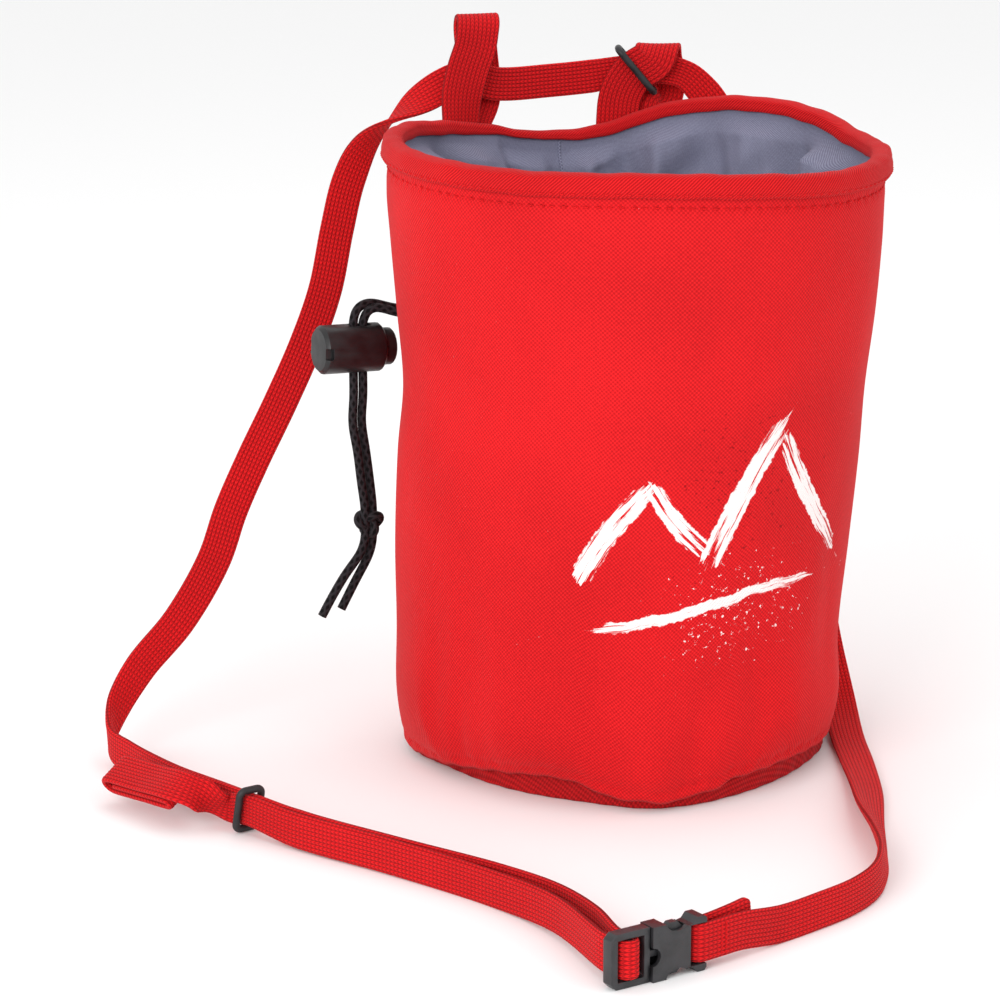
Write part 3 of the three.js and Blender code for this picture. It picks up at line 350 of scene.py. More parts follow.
def through_points(points, counts):
    """A centripetal Catmull-Rom curve through the points, with a count of steps for each span."""
    points = np.asarray(points, float)
    padded = np.vstack([2 * points[0] - points[1], points, 2 * points[-1] - points[-2]])
    found = []
    for i in range(len(points) - 1):
        p0, p1, p2, p3 = padded[i:i + 4]
        d0, d1, d2 = (max(np.linalg.norm(b - a) ** 0.5, 1e-4) for a, b in ((p0, p1), (p1, p2), (p2, p3)))
        t1 = ((p1 - p0) / d0 - (p2 - p0) / (d0 + d1) + (p2 - p1) / d1) * d1
        t2 = ((p2 - p1) / d1 - (p3 - p1) / (d1 + d2) + (p3 - p2) / d2) * d1
        t = (np.arange(counts[i] + (i == len(points) - 2)) / counts[i])[:, None]
        found.append(p1 + t1 * t + (3 * (p2 - p1) - 2 * t1 - t2) * t ** 2
                     + (2 * (p1 - p2) + t1 + t2) * t ** 3)
    return np.vstack(found)


def smoothed(values, sigma):
    """Rows averaged with their neighbours by a bell of the given number of steps; the ends stay."""
    reach = int(3 * sigma)
    weights = np.exp(-0.5 * (np.arange(-reach, reach + 1) / sigma) ** 2)
    weights /= weights.sum()
    padded = np.vstack([2 * values[0] - values[1:reach + 1][::-1], values,
                        2 * values[-1] - values[-reach - 1:-1][::-1]])
    return np.stack([np.convolve(padded[:, k], weights, "valid") for k in range(values.shape[1])], -1)


def strap_frames(stations, step, sigma):
    """Even frames along the stations: point, face and across directions, width share, distance.
    The face turns slowly where the line runs on, and quickly only in tight bends."""
    points = [s[0] for s in stations]
    counts = [max(2, round(np.linalg.norm(b - a) / (0.5 * step))) for a, b in zip(points[:-1], points[1:])]
    line = through_points(points, counts)
    place = np.concatenate([np.arange(c) / c + i for i, c in enumerate(counts)] + [[len(counts)]])
    keys = np.arange(len(stations))
    face = np.stack([np.interp(place, keys, [s[1][k] for s in stations]) for k in range(3)], -1)
    width = np.interp(place, keys, [s[2] for s in stations])
    run = np.concatenate([[0], np.cumsum(np.linalg.norm(np.diff(line, axis=0), axis=1))])
    even = np.linspace(0, run[-1], max(3, round(run[-1] / step)) + 1)
    line, face = (np.stack([np.interp(even, run, a[:, k]) for k in range(3)], -1) for a in (line, face))
    width = np.interp(even, run, width)
    line = smoothed(line, sigma)
    tangent = np.gradient(line, axis=0)
    tangent /= np.linalg.norm(tangent, axis=1)[:, None]
    curving = np.linalg.norm(np.gradient(tangent, axis=0), axis=1) / step
    tight = smoothed(np.clip((curving - 0.1) / 0.1, 0, 1)[:, None], 4 / step)
    tight = np.clip(3 * tight, 0, 1)
    face = tight * smoothed(face, 2 * sigma) + (1 - tight) * smoothed(face, 5 / step)
    face -= (face * tangent).sum(1)[:, None] * tangent
    face /= np.linalg.norm(face, axis=1)[:, None]
    return line, face, np.cross(face, tangent), width, even


def strap_section(width, thickness, ribs, rib_depth):
    """Half the section of a woven strap, across and up: flat, with round edges and lengthwise ribs."""
    t = np.linspace(-1, 1, section_points)
    across = np.sin(0.5 * math.pi * t) * 0.35 + 0.65 * t
    edge = np.clip((1 - 0.985 * np.abs(across)) * width / thickness, 0, 1)
    up = 0.5 * thickness * np.sqrt(1 - (1 - edge) ** 2)
    up = up - rib_depth * (0.5 + 0.5 * np.cos(math.pi * ribs * across)) * edge
    return across * 0.5 * width, up


def strap(name, stations, width, thickness, ribs, material, nodes=(), step=1.3, sigma=1.6,
          round_ends=(0, 0)):
    """A woven strap: its section carried along the frames. v runs across and u along, in millimetres."""
    line, face, across, share, run = strap_frames(stations, step, sigma)
    half, up = strap_section(width, thickness, ribs, 0.07 * thickness)
    for side, size in zip((0, -1), round_ends):
        if size:
            near = np.abs(run - run[side])
            share = share * np.where(near < size, np.sqrt(np.clip(1 - (1 - near / size) ** 2, 0.08, 1)) * 0.25
                                     + 0.75, 1)
    a = np.concatenate([half, half[::-1]])
    f = np.concatenate([up, -up[::-1]])
    points = (line[:, None] + across[:, None] * (a[None] * share[:, None])[..., None]
              + face[:, None] * np.broadcast_to(f, (len(line), len(f)))[..., None])
    lift = np.concatenate([half, half[::-1] + 3 * width])
    uv = grid(run[:, None], np.append(lift, lift[-1] + 0.5)[None])
    return surface(name, points, uv, material, close_across=True,
                   caps=[flat_end(0, True), flat_end(-1, False)], nodes=nodes)


def tube(name, line, radius, sides, material, closed=False, nodes=()):
    """A round tube along a line: a circle carried on frames that turn as little as they can.
    u is the distance along and v the way round in shares of a turn."""
    line = np.asarray(line, float)
    if closed:
        tangent = np.roll(line, -1, 0) - np.roll(line, 1, 0)
    else:
        tangent = np.gradient(line, axis=0)
    tangent /= np.linalg.norm(tangent, axis=1)[:, None]
    normal = np.zeros_like(line)
    start = np.cross(tangent[0], [0.3, 0.9, 0.2])
    normal[0] = start / np.linalg.norm(start)
    for i in range(1, len(line)):
        n = normal[i - 1] - normal[i - 1].dot(tangent[i]) * tangent[i]
        normal[i] = n / np.linalg.norm(n)
    side = np.cross(tangent, normal)
    turn = np.linspace(0, 2 * math.pi, sides, endpoint=False)
    if closed:
        last = normal[-1] - normal[-1].dot(tangent[0]) * tangent[0]
        twist = math.atan2(last.dot(side[0]), last.dot(normal[0]))
        spin = -twist * np.arange(len(line)) / len(line)
    else:
        spin = np.zeros(len(line))
    angle = turn[None] + spin[:, None]
    radius = np.broadcast_to(np.asarray(radius, float), (len(line),))
    points = line[:, None] + radius[:, None, None] * (
        normal[:, None] * np.cos(angle)[..., None] + side[:, None] * np.sin(angle)[..., None])
    run = np.concatenate([[0], np.cumsum(np.linalg.norm(np.diff(line, axis=0), axis=1))])
    if closed:
        run = np.append(run, run[-1] + np.linalg.norm(line[0] - line[-1]))
    uv = grid(run[:, None], np.linspace(0, 1, sides + 1)[None])
    ends = None if closed else [pole(0, True), pole(-1, False)]
    return surface(name, points, uv, material, close_across=True, close_along=closed, caps=ends,
                   nodes=nodes)


# ---- finishes ----


class Net:
    """Adds nodes to a tree: a socket given as an input is linked, anything else is its value."""

    def __init__(self, tree):
        self.tree = tree

    def node(self, kind, inputs=None, **settings):
        found = self.tree.nodes.new("ShaderNode" + kind)
        for key, value in settings.items():
            setattr(found, key, value)
        return self.fill(found, inputs or {})

    def fill(self, found, inputs):
        for key, value in inputs.items():
            if isinstance(value, bpy.types.NodeSocket):
                self.tree.links.new(value, found.inputs[key])
            else:
                found.inputs[key].default_value = value
        return found

    def math(self, operation, *values):
        return self.node("Math", dict(enumerate(values)), operation=operation).outputs[0]

    def blend(self, share, a, b):
        return self.node("Mix", {0: share, 6: a, 7: b}, data_type="RGBA").outputs[2]

    def steps(self, value, low, high):
        """0 below low, 1 above high, smooth between"""
        return self.node("MapRange", {0: value, 1: low, 2: high, 3: 0.0, 4: 1.0},
                         interpolation_type="SMOOTHSTEP").outputs[0]

    def noise(self, vector, scale, detail=2.0, rough=0.5):
        inputs = {"Vector": vector, "Scale": scale, "Detail": detail, "Roughness": rough}
        return self.node("TexNoise", inputs).outputs[0]


def group(name, inputs, outputs, build):
    """A shader node group with named inputs and outputs, filled by build(net, input sockets)."""
    tree = bpy.data.node_groups.new(name, "ShaderNodeTree")
    for label, kind, value in inputs:
        socket = tree.interface.new_socket(label, in_out="INPUT", socket_type="NodeSocket" + kind)
        if value is not None:
            socket.default_value = value
    for label in outputs:
        tree.interface.new_socket(label, in_out="OUTPUT", socket_type="NodeSocketFloat")
    net = Net(tree)
    entry = net.tree.nodes.new("NodeGroupInput")
    leave = net.tree.nodes.new("NodeGroupOutput")
    for label, value in build(net, entry.outputs).items():
        tree.links.new(value, leave.inputs[label])
    return tree


def split(net, vector):
    return net.node("SeparateXYZ", {0: vector}).outputs


def wave(net, operation, value, pitch, turns=1):
    """The sine or cosine of a value counted in pitches."""
    return net.math(operation, net.math("MULTIPLY", net.math("DIVIDE", value, pitch), 2 * math.pi * turns))


def uneven(net, given, height, scale, span, low):
    """A height made uneven by slow noise over the map."""
    slow = net.noise(given["Map"], scale, 2.0)
    return net.math("MULTIPLY", height, net.math("MULTIPLY_ADD", slow, span, low))


def build_basket(net, given):
    """Threads crossing in turn: cos u times cos v gives a raised dot at every other crossing."""
    u, v, _ = split(net, given["Map"])
    over, under = (wave(net, "COSINE", c, given["Pitch"]) for c in (u, v))
    dots = net.math("MULTIPLY", over, under)
    height = uneven(net, given, net.math("MULTIPLY_ADD", dots, 0.5, 0.5), 0.9, 0.6, 0.7)
    return {"Height": height, "Thread": net.steps(height, 0.25, 0.8)}


def build_twill(net, given):
    """Slanting ribs: a wave of u plus slant times v, broken by the thread pitch along each rib."""
    u, v, _ = split(net, given["Map"])
    along = net.math("ADD", u, net.math("MULTIPLY", v, given["Slant"]))
    rib = wave(net, "SINE", along, given["Pitch"])
    cross = wave(net, "SINE", v, given["Pitch"], 2)
    height = net.math("MULTIPLY_ADD", net.math("MULTIPLY_ADD", cross, 0.25, rib), 0.4, 0.5)
    height = uneven(net, given, height, 0.7, 0.5, 0.75)
    return {"Height": height, "Thread": net.steps(height, 0.2, 0.8)}


def build_webbing(net, given):
    """Lengthwise ribs of small chevrons: u shifted by how far v is from its rib's middle."""
    u, v, _ = split(net, given["Map"])
    place = net.math("FRACT", net.math("DIVIDE", v, given["Pitch"]))
    rib = net.math("ABSOLUTE", net.math("SUBTRACT", place, 0.5))
    groove = net.steps(rib, 0.5, 0.3)
    shifted = net.math("ADD", u, net.math("MULTIPLY", rib, net.math("MULTIPLY", given["Pitch"], 1.6)))
    stitch = wave(net, "SINE", shifted, given["Stitch"])
    height = net.math("MULTIPLY", groove, net.math("MULTIPLY_ADD", stitch, 0.3, 0.6))
    height = uneven(net, given, height, 0.8, 0.5, 0.75)
    return {"Height": height, "Thread": net.steps(height, 0.15, 0.75)}


def build_braid(net, given):
    """Two sets of strands winding round a cord both ways: the higher of two slanting waves."""
    u, v, _ = split(net, given["Map"])
    around = net.math("MULTIPLY", v, given["Strands"])
    along = net.math("DIVIDE", u, given["Pitch"])
    left = net.math("SINE", net.math("MULTIPLY", net.math("ADD", along, around), 2 * math.pi))
    right = net.math("SINE", net.math("MULTIPLY", net.math("SUBTRACT", along, around), 2 * math.pi))
    height = net.math("MULTIPLY_ADD", net.math("MAXIMUM", left, right), 0.5, 0.5)
    return {"Height": height, "Thread": net.steps(height, 0.3, 0.9)}


def build_tone(net, given):
    """Slow unevenness of a dyed cloth, and fine fuzz, both from noise."""
    slow = net.noise(given["Place"], given["Scale"], 3.0, 0.55)
    fine = net.noise(given["Place"], net.math("MULTIPLY", given["Scale"], 60.0), 2.0, 0.6)
    tone = net.math("ADD", net.math("MULTIPLY", slow, 0.7), net.math("MULTIPLY", fine, 0.3))
    return {"Tone": net.steps(tone, 0.3, 0.7), "Fuzz": fine}


def build_grain(net, given):
    """Moulded plastic and rubber: a fine spark texture, and slow flow marks."""
    fine = net.noise(given["Place"], net.math("MULTIPLY", given["Scale"], 12.0), 3.0, 0.6)
    slow = net.noise(given["Place"], given["Scale"], 2.0, 0.5)
    return {"Height": fine, "Tone": net.steps(net.math("MULTIPLY_ADD", fine, 0.4, slow), 0.5, 0.9)}


map_inputs = [("Map", "Vector", None), ("Pitch", "Float", 1.0)]
place_input = [("Place", "Vector", None)]
# Each weave gives its height and a mask, 1 on thread tops and 0 in the gaps, which the finish uses for its
# roughness and for painted shade in the gaps
weave_outputs = ["Height", "Thread"]
groups = {
    "basket": group("basket weave", map_inputs, weave_outputs, build_basket),
    "twill": group("twill", map_inputs + [("Slant", "Float", 1.0)], weave_outputs, build_twill),
    "webbing": group("webbing ribs", map_inputs + [("Stitch", "Float", 1.0)], weave_outputs, build_webbing),
    "braid": group("cord braid", map_inputs + [("Strands", "Float", 4.0)], weave_outputs, build_braid),
    "tone": group("dyed tone", place_input + [("Scale", "Float", 20.0)], ["Tone", "Fuzz"], build_tone),
    "grain": group("moulded grain", place_input + [("Scale", "Float", 200.0)], ["Height", "Tone"],
                   build_grain),
}


def placed(net, name, inputs):
    """A group node in a material, with its inputs set or linked."""
    found = net.tree.nodes.new("ShaderNodeGroup")
    found.node_tree = groups[name]
    return net.fill(found, inputs).outputs


def rgb(code):
    """A colour given as six hexadecimal digits, in linear light."""
    parts = [int(code[i:i + 2], 16) / 255 for i in (0, 2, 4)]
    return (*[c / 12.92 if c <= 0.04045 else ((c + 0.055) / 1.055) ** 2.4 for c in parts], 1.0)


def new_finish(name, **sockets):
    """A material with one Principled BSDF, its plain values on the shader's own sockets."""
    material = bpy.data.materials.new(name)
    material.use_nodes = True
    net = Net(material.node_tree)
    shader = material.node_tree.nodes["Principled BSDF"]
    for key, value in sockets.items():
        shader.inputs[key.replace("_", " ")].default_value = value
    return material, net, shader


def feed(net, shader, colour, rough, height, depth):
    """Links a colour, a roughness and a height, as bump of a depth in millimetres, to a shader."""
    bump = net.node("Bump", {"Height": height, "Strength": 1.0, "Distance": depth * MM}).outputs[0]
    for socket, value in (("Base Color", colour), ("Roughness", rough), ("Normal", bump)):
        net.tree.links.new(value, shader.inputs[socket])


def cloth_finish(name, pattern, thread, between, pitch, depth, tone_scale=18.0, roughness=0.82,
                 paint=None, **pattern_inputs):
    """A woven finish: painted shade between the threads as their darker colour, slow tone over it, and the
    weave's height as bump.
    """
    material, net, shader = new_finish(name, Roughness=roughness, Sheen_Weight=0.04, Sheen_Roughness=0.4,
                                       Specular_IOR_Level=0.12)
    mapped = net.node("UVMap", uv_map="cloth").outputs[0]
    place = net.node("TexCoord").outputs["Object"]
    weave = placed(net, pattern, {"Map": mapped, "Pitch": pitch, **pattern_inputs})
    tone = placed(net, "tone", {"Place": place, "Scale": tone_scale})
    # painted shade: the gaps between the threads take the darker colour, standing for the shade that falls in
    # them
    colour = net.blend(weave["Thread"], rgb(between), rgb(thread))
    slow = net.blend(tone["Tone"], (0.86, 0.84, 0.84, 1), (1.06, 1.04, 1.04, 1))
    colour = net.node("Mix", {0: 1.0, 6: colour, 7: slow}, data_type="RGBA", blend_type="MULTIPLY").outputs[2]
    height = net.math("MULTIPLY_ADD", tone["Fuzz"], 0.25, weave["Height"])
    if paint:
        colour = paint(net, colour)
    rough = net.math("MULTIPLY_ADD", weave["Thread"], -0.08, roughness + 0.04)
    feed(net, shader, colour, rough, height, depth)
    return material


def moulded_finish(name, colour, worn, roughness, depth, coat=0.0):
    """Plastic or rubber: fine grain bump, and a paler tone where it is rubbed."""
    material, net, shader = new_finish(name, Coat_Weight=coat, Coat_Roughness=0.3, Specular_IOR_Level=0.5)
    place = net.node("TexCoord").outputs["Object"]
    grain = placed(net, "grain", {"Place": place, "Scale": grain_scale})
    tint = net.blend(grain["Tone"], rgb(colour), rgb(worn))
    rough = net.math("MULTIPLY_ADD", grain["Tone"], 0.12, roughness)
    feed(net, shader, tint, rough, grain["Height"], depth)
    return material


# The chalk print's brush strokes on the wall's map in millimetres: middle along and up, lean in degrees,
# half length, half width, and bow as the offset per square millimetre
stroke_rows = [
    (300.0, 76.0, 58.0, 17.0, 3.0, 0.006), (318.0, 79.0, -48.0, 13.0, 2.6, -0.006),
    (336.0, 86.0, 62.0, 23.0, 3.4, 0.004), (361.0, 80.0, -52.0, 24.0, 3.0, -0.004),
    (330.0, 55.0, 8.0, 34.0, 1.7, 0.002)]


def build_stroke(net, given):
    """A dry brush stroke: the distance off a bowed line, inside a half width that narrows to its ends,
    with streaks along it from noise."""
    u, v, _ = split(net, given["Map"])
    c, s = net.math("COSINE", given["Lean"]), net.math("SINE", given["Lean"])
    du, dv = net.math("SUBTRACT", u, given["Along"]), net.math("SUBTRACT", v, given["Up"])
    p = net.math("ADD", net.math("MULTIPLY", du, c), net.math("MULTIPLY", dv, s))
    q = net.math("SUBTRACT", net.math("MULTIPLY", dv, c), net.math("MULTIPLY", du, s))
    q = net.math("ADD", q, net.math("MULTIPLY", given["Bow"], net.math("MULTIPLY", p, p)))
    streak = net.node("CombineXYZ", {0: net.math("MULTIPLY", p, 0.05), 1: q, 2: given["Up"]}).outputs[0]
    rough = net.noise(streak, 0.9, 4.0, 0.7)
    blot = net.noise(given["Map"], 0.35, 4.0, 0.65)
    end = net.math("DIVIDE", net.math("ABSOLUTE", p), given["Half length"])
    ragged = net.math("MULTIPLY", net.math("SUBTRACT", rough, 0.5), 0.5)
    narrow = net.steps(net.math("ADD", end, ragged), 1.05, 0.8)
    edge = net.math("SUBTRACT", net.math("MULTIPLY", given["Half width"], narrow), net.math("ABSOLUTE", q))
    edge = net.math("ADD", edge, net.math("MULTIPLY", net.math("SUBTRACT", blot, 0.5), 2.6))
    dry = net.steps(net.math("ADD", rough, net.math("MULTIPLY", end, 0.14)), 0.66, 0.6)
    return {"Mask": net.math("MULTIPLY", net.steps(edge, 0.0, 0.4), dry)}


groups["stroke"] = group("brush stroke", [("Map", "Vector", None)] + [
    (label, "Float", 1.0) for label in ("Along", "Up", "Lean", "Half length", "Half width", "Bow")], ["Mask"],
    build_stroke)


def chalk_print(net, colour):
    """A rough ridge of peaks in white brush strokes, with white specks below and darker specks above it."""
    mapped = net.node("UVMap", uv_map="cloth").outputs[0]
    u, v, _ = split(net, mapped)
    mask = None
    for along, up, lean, length, width, bow in stroke_rows:
        stroke = placed(net, "stroke", {"Map": mapped, "Along": along, "Up": up, "Lean": math.radians(lean),
                                        "Half length": length, "Half width": width, "Bow": bow})[0]
        mask = net.math("MAXIMUM", mask, stroke) if mask else stroke
    du = net.math("DIVIDE", net.math("SUBTRACT", u, 338.0), 46.0)
    far = lambda middle, tall: net.math("SQRT", net.math("ADD", net.math("MULTIPLY", du, du), net.math(
        "POWER", net.math("ABSOLUTE", net.math("DIVIDE", net.math("SUBTRACT", v, middle), tall)), 2.0)))
    blots = net.noise(mapped, 0.55, 5.0, 0.7)
    limit = net.math("MULTIPLY_ADD", net.steps(far(52.0, 30.0), 1.0, 0.15), -0.13, 0.73)
    white = net.steps(net.math("SUBTRACT", blots, limit), 0.0, 0.015)
    spots = net.noise(mapped, 0.75, 2.0, 0.5)
    dark_limit = net.math("MULTIPLY_ADD", net.steps(far(88.0, 44.0), 1.05, 0.2), -0.15, 0.79)
    dark = net.steps(net.math("SUBTRACT", spots, dark_limit), 0.0, 0.02)
    colour = net.blend(net.math("MULTIPLY", dark, 0.7), colour, rgb("7E0C10"))
    ink = net.math("MULTIPLY", net.math("MAXIMUM", mask, white), 0.93)
    return net.blend(ink, colour, rgb("F6F0EE"))


# The second colour of each cloth below is painted shade in the gaps between its threads.
wall_red = cloth_finish("wall cloth", "basket", "E01E22", "B8141A", 1.15, 0.12, paint=chalk_print)
base_red = cloth_finish("base cloth", "basket", "C41C20", "981216", 1.2, 0.2, roughness=0.9)
tape_red = cloth_finish("binding tape", "twill", "DA1C20", "A80E12", 1.0, 0.16, Slant=-0.9)
lining_blue = cloth_finish("lining cloth", "basket", "9092A6", "666880", 0.95, 0.09, tone_scale=26.0,
                           roughness=0.6)
web_red = cloth_finish("webbing", "webbing", "DC1A1E", "981014", 1.06, 0.22, roughness=0.8, Stitch=1.3)
loop_red = cloth_finish("loop webbing", "webbing", "DA1A1E", "981014", 1.2, 0.2, roughness=0.8, Stitch=1.1)
cord_black = cloth_finish("braided cord", "braid", "2B292C", "0B0A0B", 3.2, 0.16, roughness=0.75, Strands=4.0)
thread_red = cloth_finish("sewing thread", "braid", "E01A1E", "A00A0E", 0.8, 0.05, Strands=2.0)
plastic_dark = moulded_finish("buckle plastic", "1C1C1E", "2D2D30", 0.36, 0.02, coat=0.1)
plastic_black = moulded_finish("lock plastic", "08080A", "141416", 0.4, 0.02, coat=0.05)
rubber_black = moulded_finish("ring rubber", "101012", "222225", 0.5, 0.03)


# ---- the bag ----

around = np.linspace(0, 360, 384, endpoint=False)
around_closed = np.append(around, 360.0)
arc = np.radians(around_closed) * mouth_radius


def build_wall():
    """Wall: rows of height from a rolled hem to the edge under the tape; outside, over the top, down inside.
    The outside carries creases, the puckers of the seam under the tape and those of the hem."""
    levels = np.linspace(0, 1, 150)
    top = rim_top(around) - binding_thickness - sewn_gap
    t = np.radians(around)
    low = (hem_height(around) + 0.4 * np.sin(19 * t + 2 * np.sin(5 * t)) * (0.6 + 0.4 * np.sin(3 * t))
           + 0.25 * np.sin(41 * t))
    z = low + levels[:, None] * (top - low)
    fade = np.clip((z - low) / 5 + 0.25, 0, 1) * np.clip((top - 2 - z) / 14, 0, 1)
    out = creases(around[None], z) * fade
    seam = bell(z - (rim_top(around) - binding_height - 2.6), 1.1)
    pucker = 0.5 + 0.5 * np.sin(t * 96 + 2 * np.sin(t * 5))
    out = out - seam * (0.3 + 0.5 * pucker)
    hem_seam = bell(z - low - 3.4, 1.0)
    out = out - hem_seam * (0.25 + 0.45 * (0.5 + 0.5 * np.sin(t * 70)))
    roll = np.clip(1 - (z - low) / 1.2, 0, 1)
    out = out - 0.8 * roll ** 2
    outer = on_wall(around[None], z, out)
    inner_levels = levels[::-5]
    z_in = low + inner_levels[:, None] * (top - low)
    inner = on_wall(around[None], z_in, -wall_thickness + 0.6 * np.clip(1 - (z_in - low) / 1.2, 0, 1))
    points = np.vstack([outer, inner])
    rise = np.concatenate([levels * bag_height, 400 + inner_levels * bag_height, [600.0]])
    uv = grid(arc[None] * 0.97, rise[:, None])
    return surface("bag_wall_cloth", points, uv, wall_red, close_across=True, close_along=True,
                   nodes=["bag_wall"])


def build_base():
    """Base: a dish from its middle out, round a soft corner and up inside the hem, then back inside."""
    foot = base_radius(around)
    hem = hem_height(around)
    in_wall = lambda z: wall_radius(around, z) - wall_thickness - sewn_gap
    lip = hem + base_rise
    outer = [(foot * s, 0 * foot) for s in np.linspace(0.08, 0.94, 12)]
    for turn in np.linspace(0, 90, 8):
        c, s = math.sin(math.radians(turn)), 1 - math.cos(math.radians(turn))
        outer.append((np.minimum(foot - base_corner * (1 - c), in_wall(hem)), base_corner * s + 0 * foot))
    for share in np.linspace(0.15, 1, 7):
        z = base_corner + (lip - base_corner) * share
        blend = np.clip((z - base_corner) / np.maximum(hem + 0.3 * base_rise - base_corner, 0.5), 0, 1)
        outer.append((np.minimum(foot + (in_wall(z) - foot) * blend, in_wall(np.maximum(z, hem))), z))
    inner = [(in_wall(lip) - base_thickness, lip), (in_wall(hem) - base_thickness, hem + 0.3 * base_rise),
             (foot - base_thickness - base_corner, base_thickness + 0 * foot)]
    inner += [((foot - base_thickness - base_corner) * s, base_thickness + 0 * foot)
              for s in (0.75, 0.4, 0.08)]
    rows = outer + inner
    ripple = 0.12 * np.sin(np.radians(around) * 44)
    points = np.stack([around_bag(around, r + (ripple if 12 <= i < 27 else 0), z)
                       for i, (r, z) in enumerate(rows)])
    uv = np.stack([around_bag(around_closed, np.append(r, r[0]), np.append(z, z[0]))[:, :2]
                   + [0, 1] * np.append(z, z[0])[:, None] for r, z in rows])
    return surface("bag_base_cloth", points, uv, base_red, close_across=True,
                   caps=[pole(0, True), pole(-1, False)], nodes=["base_panel"])


def lining_inset(angle, z):
    """How far the lining stands in from the wall: drawn in by the cord at its channel, in folds whose pockets
    lie at the table's angles, sharp at the ridges, and growing from the tape down."""
    count = from_rows(np.vstack([pocket_rows, [375, pocket_count]]), 1, (angle - 15) % 360 + 15)
    lean = 0.1 * np.sin(np.radians(angle * 3)) * (rim_top(angle) - z) / 20
    ridge = 0.5 - 0.5 * np.cos(2 * math.pi * (count + lean))
    ridge = 0.75 * ridge ** 1.2 + 0.25 * (0.5 - 0.5 * np.cos(4 * math.pi * count + 1.0)) * ridge
    below = rim_top(angle) - binding_height - z
    near_top = np.clip((below + 2) / 20, 0, 1)
    drawn = bell(z / bag_height - 0.8, 0.2) * np.clip(below / 4, 0, 1)
    t = np.radians(angle)
    slow = 0.9 + 0.35 * np.sin(t * 2 + 1) + 0.2 * np.sin(t * 5)
    crumple = (0.5 * np.sin(t * 31 + z * 0.22) + 0.35 * np.sin(t * 53 - z * 0.35)
               + 0.4 * np.sin(t * 17 + z * 0.5)) * drawn
    flap = (flap_lift * np.clip((angle - 124) / 2.5, 0, 1) * np.clip((146 - angle) / 16, 0, 1)
            * np.clip((below + 4) / 12, 0, 1))
    pinch = bell(below - 9, 7) * (0.5 + 0.5 * np.cos(2 * math.pi * count)) ** 6
    fold = fold_depth * ridge * drawn * slow
    return np.maximum(1.2 * near_top + 2.2 * drawn + fold + crumple + flap - 1.1 * pinch, 0)


def build_lining():
    """Lining: a closed bag inside the wall, from its floor up to the tape and back down as its other face."""
    top = rim_top(around) - binding_thickness - sewn_gap
    lip = hem_height(around) + base_rise + sewn_gap
    levels = np.concatenate([np.linspace(0, 0.6, 40), np.linspace(0.61, 1, 90)])

    def face(skin, use):
        floor_z = base_thickness + sewn_gap + skin + 0 * lip
        rows = [around_bag(around, (base_radius(around) - 9) * s - skin, floor_z) for s in (0.1, 0.5, 1.0)]
        for level in use:
            z = lip + level * (top - lip)
            base_clear = (base_thickness + sewn_gap) * np.clip(1 - (z - lip) / 6, 0, 1)
            rows.append(on_wall(around, z, -lining_clear - base_clear - lining_inset(around, z) - skin))
        return rows

    outside = face(0.0, levels[::3])
    inside = face(lining_thickness, levels)
    points = np.stack(outside + inside[::-1])
    run = np.linspace(0, 2 * bag_height, len(points))
    uv = grid(arc[None] * 0.95, run[:, None])
    return surface("bag_lining", points, uv, lining_blue, close_across=True,
                   caps=[pole(0, True), pole(-1, False)], nodes=["lining"])


def build_binding():
    """Binding: a tape folded over both edges: a bulging outside, a round top and an inside leg, one closed
    section carried round the mouth, with small puckers where its seam draws it in."""
    top = rim_top(around)
    outer = wall_radius(around, top) + sewn_gap + binding_thickness
    groove = wall_thickness + lining_thickness + 3 * sewn_gap
    inner = outer - groove - 2 * binding_thickness
    middle, half = (outer + inner) / 2, (outer - inner) / 2
    t = binding_thickness
    pucker = 0.5 + 0.5 * np.sin(np.radians(around) * 130)
    rows = []
    for share in np.linspace(0, 1, 10):
        bulge = 0.45 * t * math.sin(math.pi * min(share * 1.15, 1)) - 0.12 * pucker * bell(share - 0.14, 0.1)
        rows.append((outer + bulge, top - binding_height + share * (binding_height - 1.6 * t)))
    for turn in np.linspace(0, 180, 13)[1:-1]:
        c, s = cos_sin(turn)
        rows.append((middle + half * c, top - 1.6 * t + 1.6 * t * s))
    leg = binding_height * (0.66 - 0.3 * bell(angle_between(around, 116), 18))
    for share in np.linspace(1, 0, 9):
        bulge = 0.25 * t * math.sin(math.pi * min(share * 1.15, 1)) - 0.1 * pucker * bell(share - 0.14, 0.1)
        rows.append((inner - bulge, top - leg + share * (leg - 1.6 * t)))
    for share in (0.0, 0.5, 0.93):
        rows.append((inner + t, top - leg + 0.1 + share * (leg - t - 0.3)))
    for share in (0.93, 0.5, 0.0):
        rows.append((outer - t, top - binding_height + 0.1 + share * (binding_height - t - 0.3)))
    ripple = 0.1 * np.sin(np.radians(around) * 23 + 1) + 0.07 * np.sin(np.radians(around) * 41)
    points = np.stack([around_bag(around, r + 0.5 * ripple, z + ripple) for r, z in rows])
    run = np.concatenate([[0], np.cumsum([abs(float((b[0] - a[0])[0])) + abs(float((b[1] - a[1])[0]))
                                          for a, b in zip(rows[:-1], rows[1:])]), [60.0]])
    uv = grid(arc[None], run[:, None])
    return surface("rim_tape", points, uv, tape_red, close_across=True, close_along=True,
                   nodes=["rim_binding"])


def build_lining_seam():
    """The lining's upright seam: a thin raised line on its inner face, down from the tape."""
    z = np.linspace(rim_top(seam_angle) - 3, 0.6 * bag_height, 60)
    inset = lining_clear + lining_inset(seam_angle, z) + lining_thickness
    return tube("lining_seam", on_wall(seam_angle, z, -inset), 0.4, 10, lining_blue)


build_wall()
build_base()
build_lining()
build_lining_seam()
build_binding()


# ---- the two loops and the belt ----

leg_out = sewn_gap + loop_thickness / 2
second_out = leg_out + loop_thickness + sewn_gap + loop_ease
over_binding = 1.3 * binding_thickness + sewn_gap
behind_leg = loop_thickness / 2 + sewn_gap + loop_ease + belt_thickness / 2

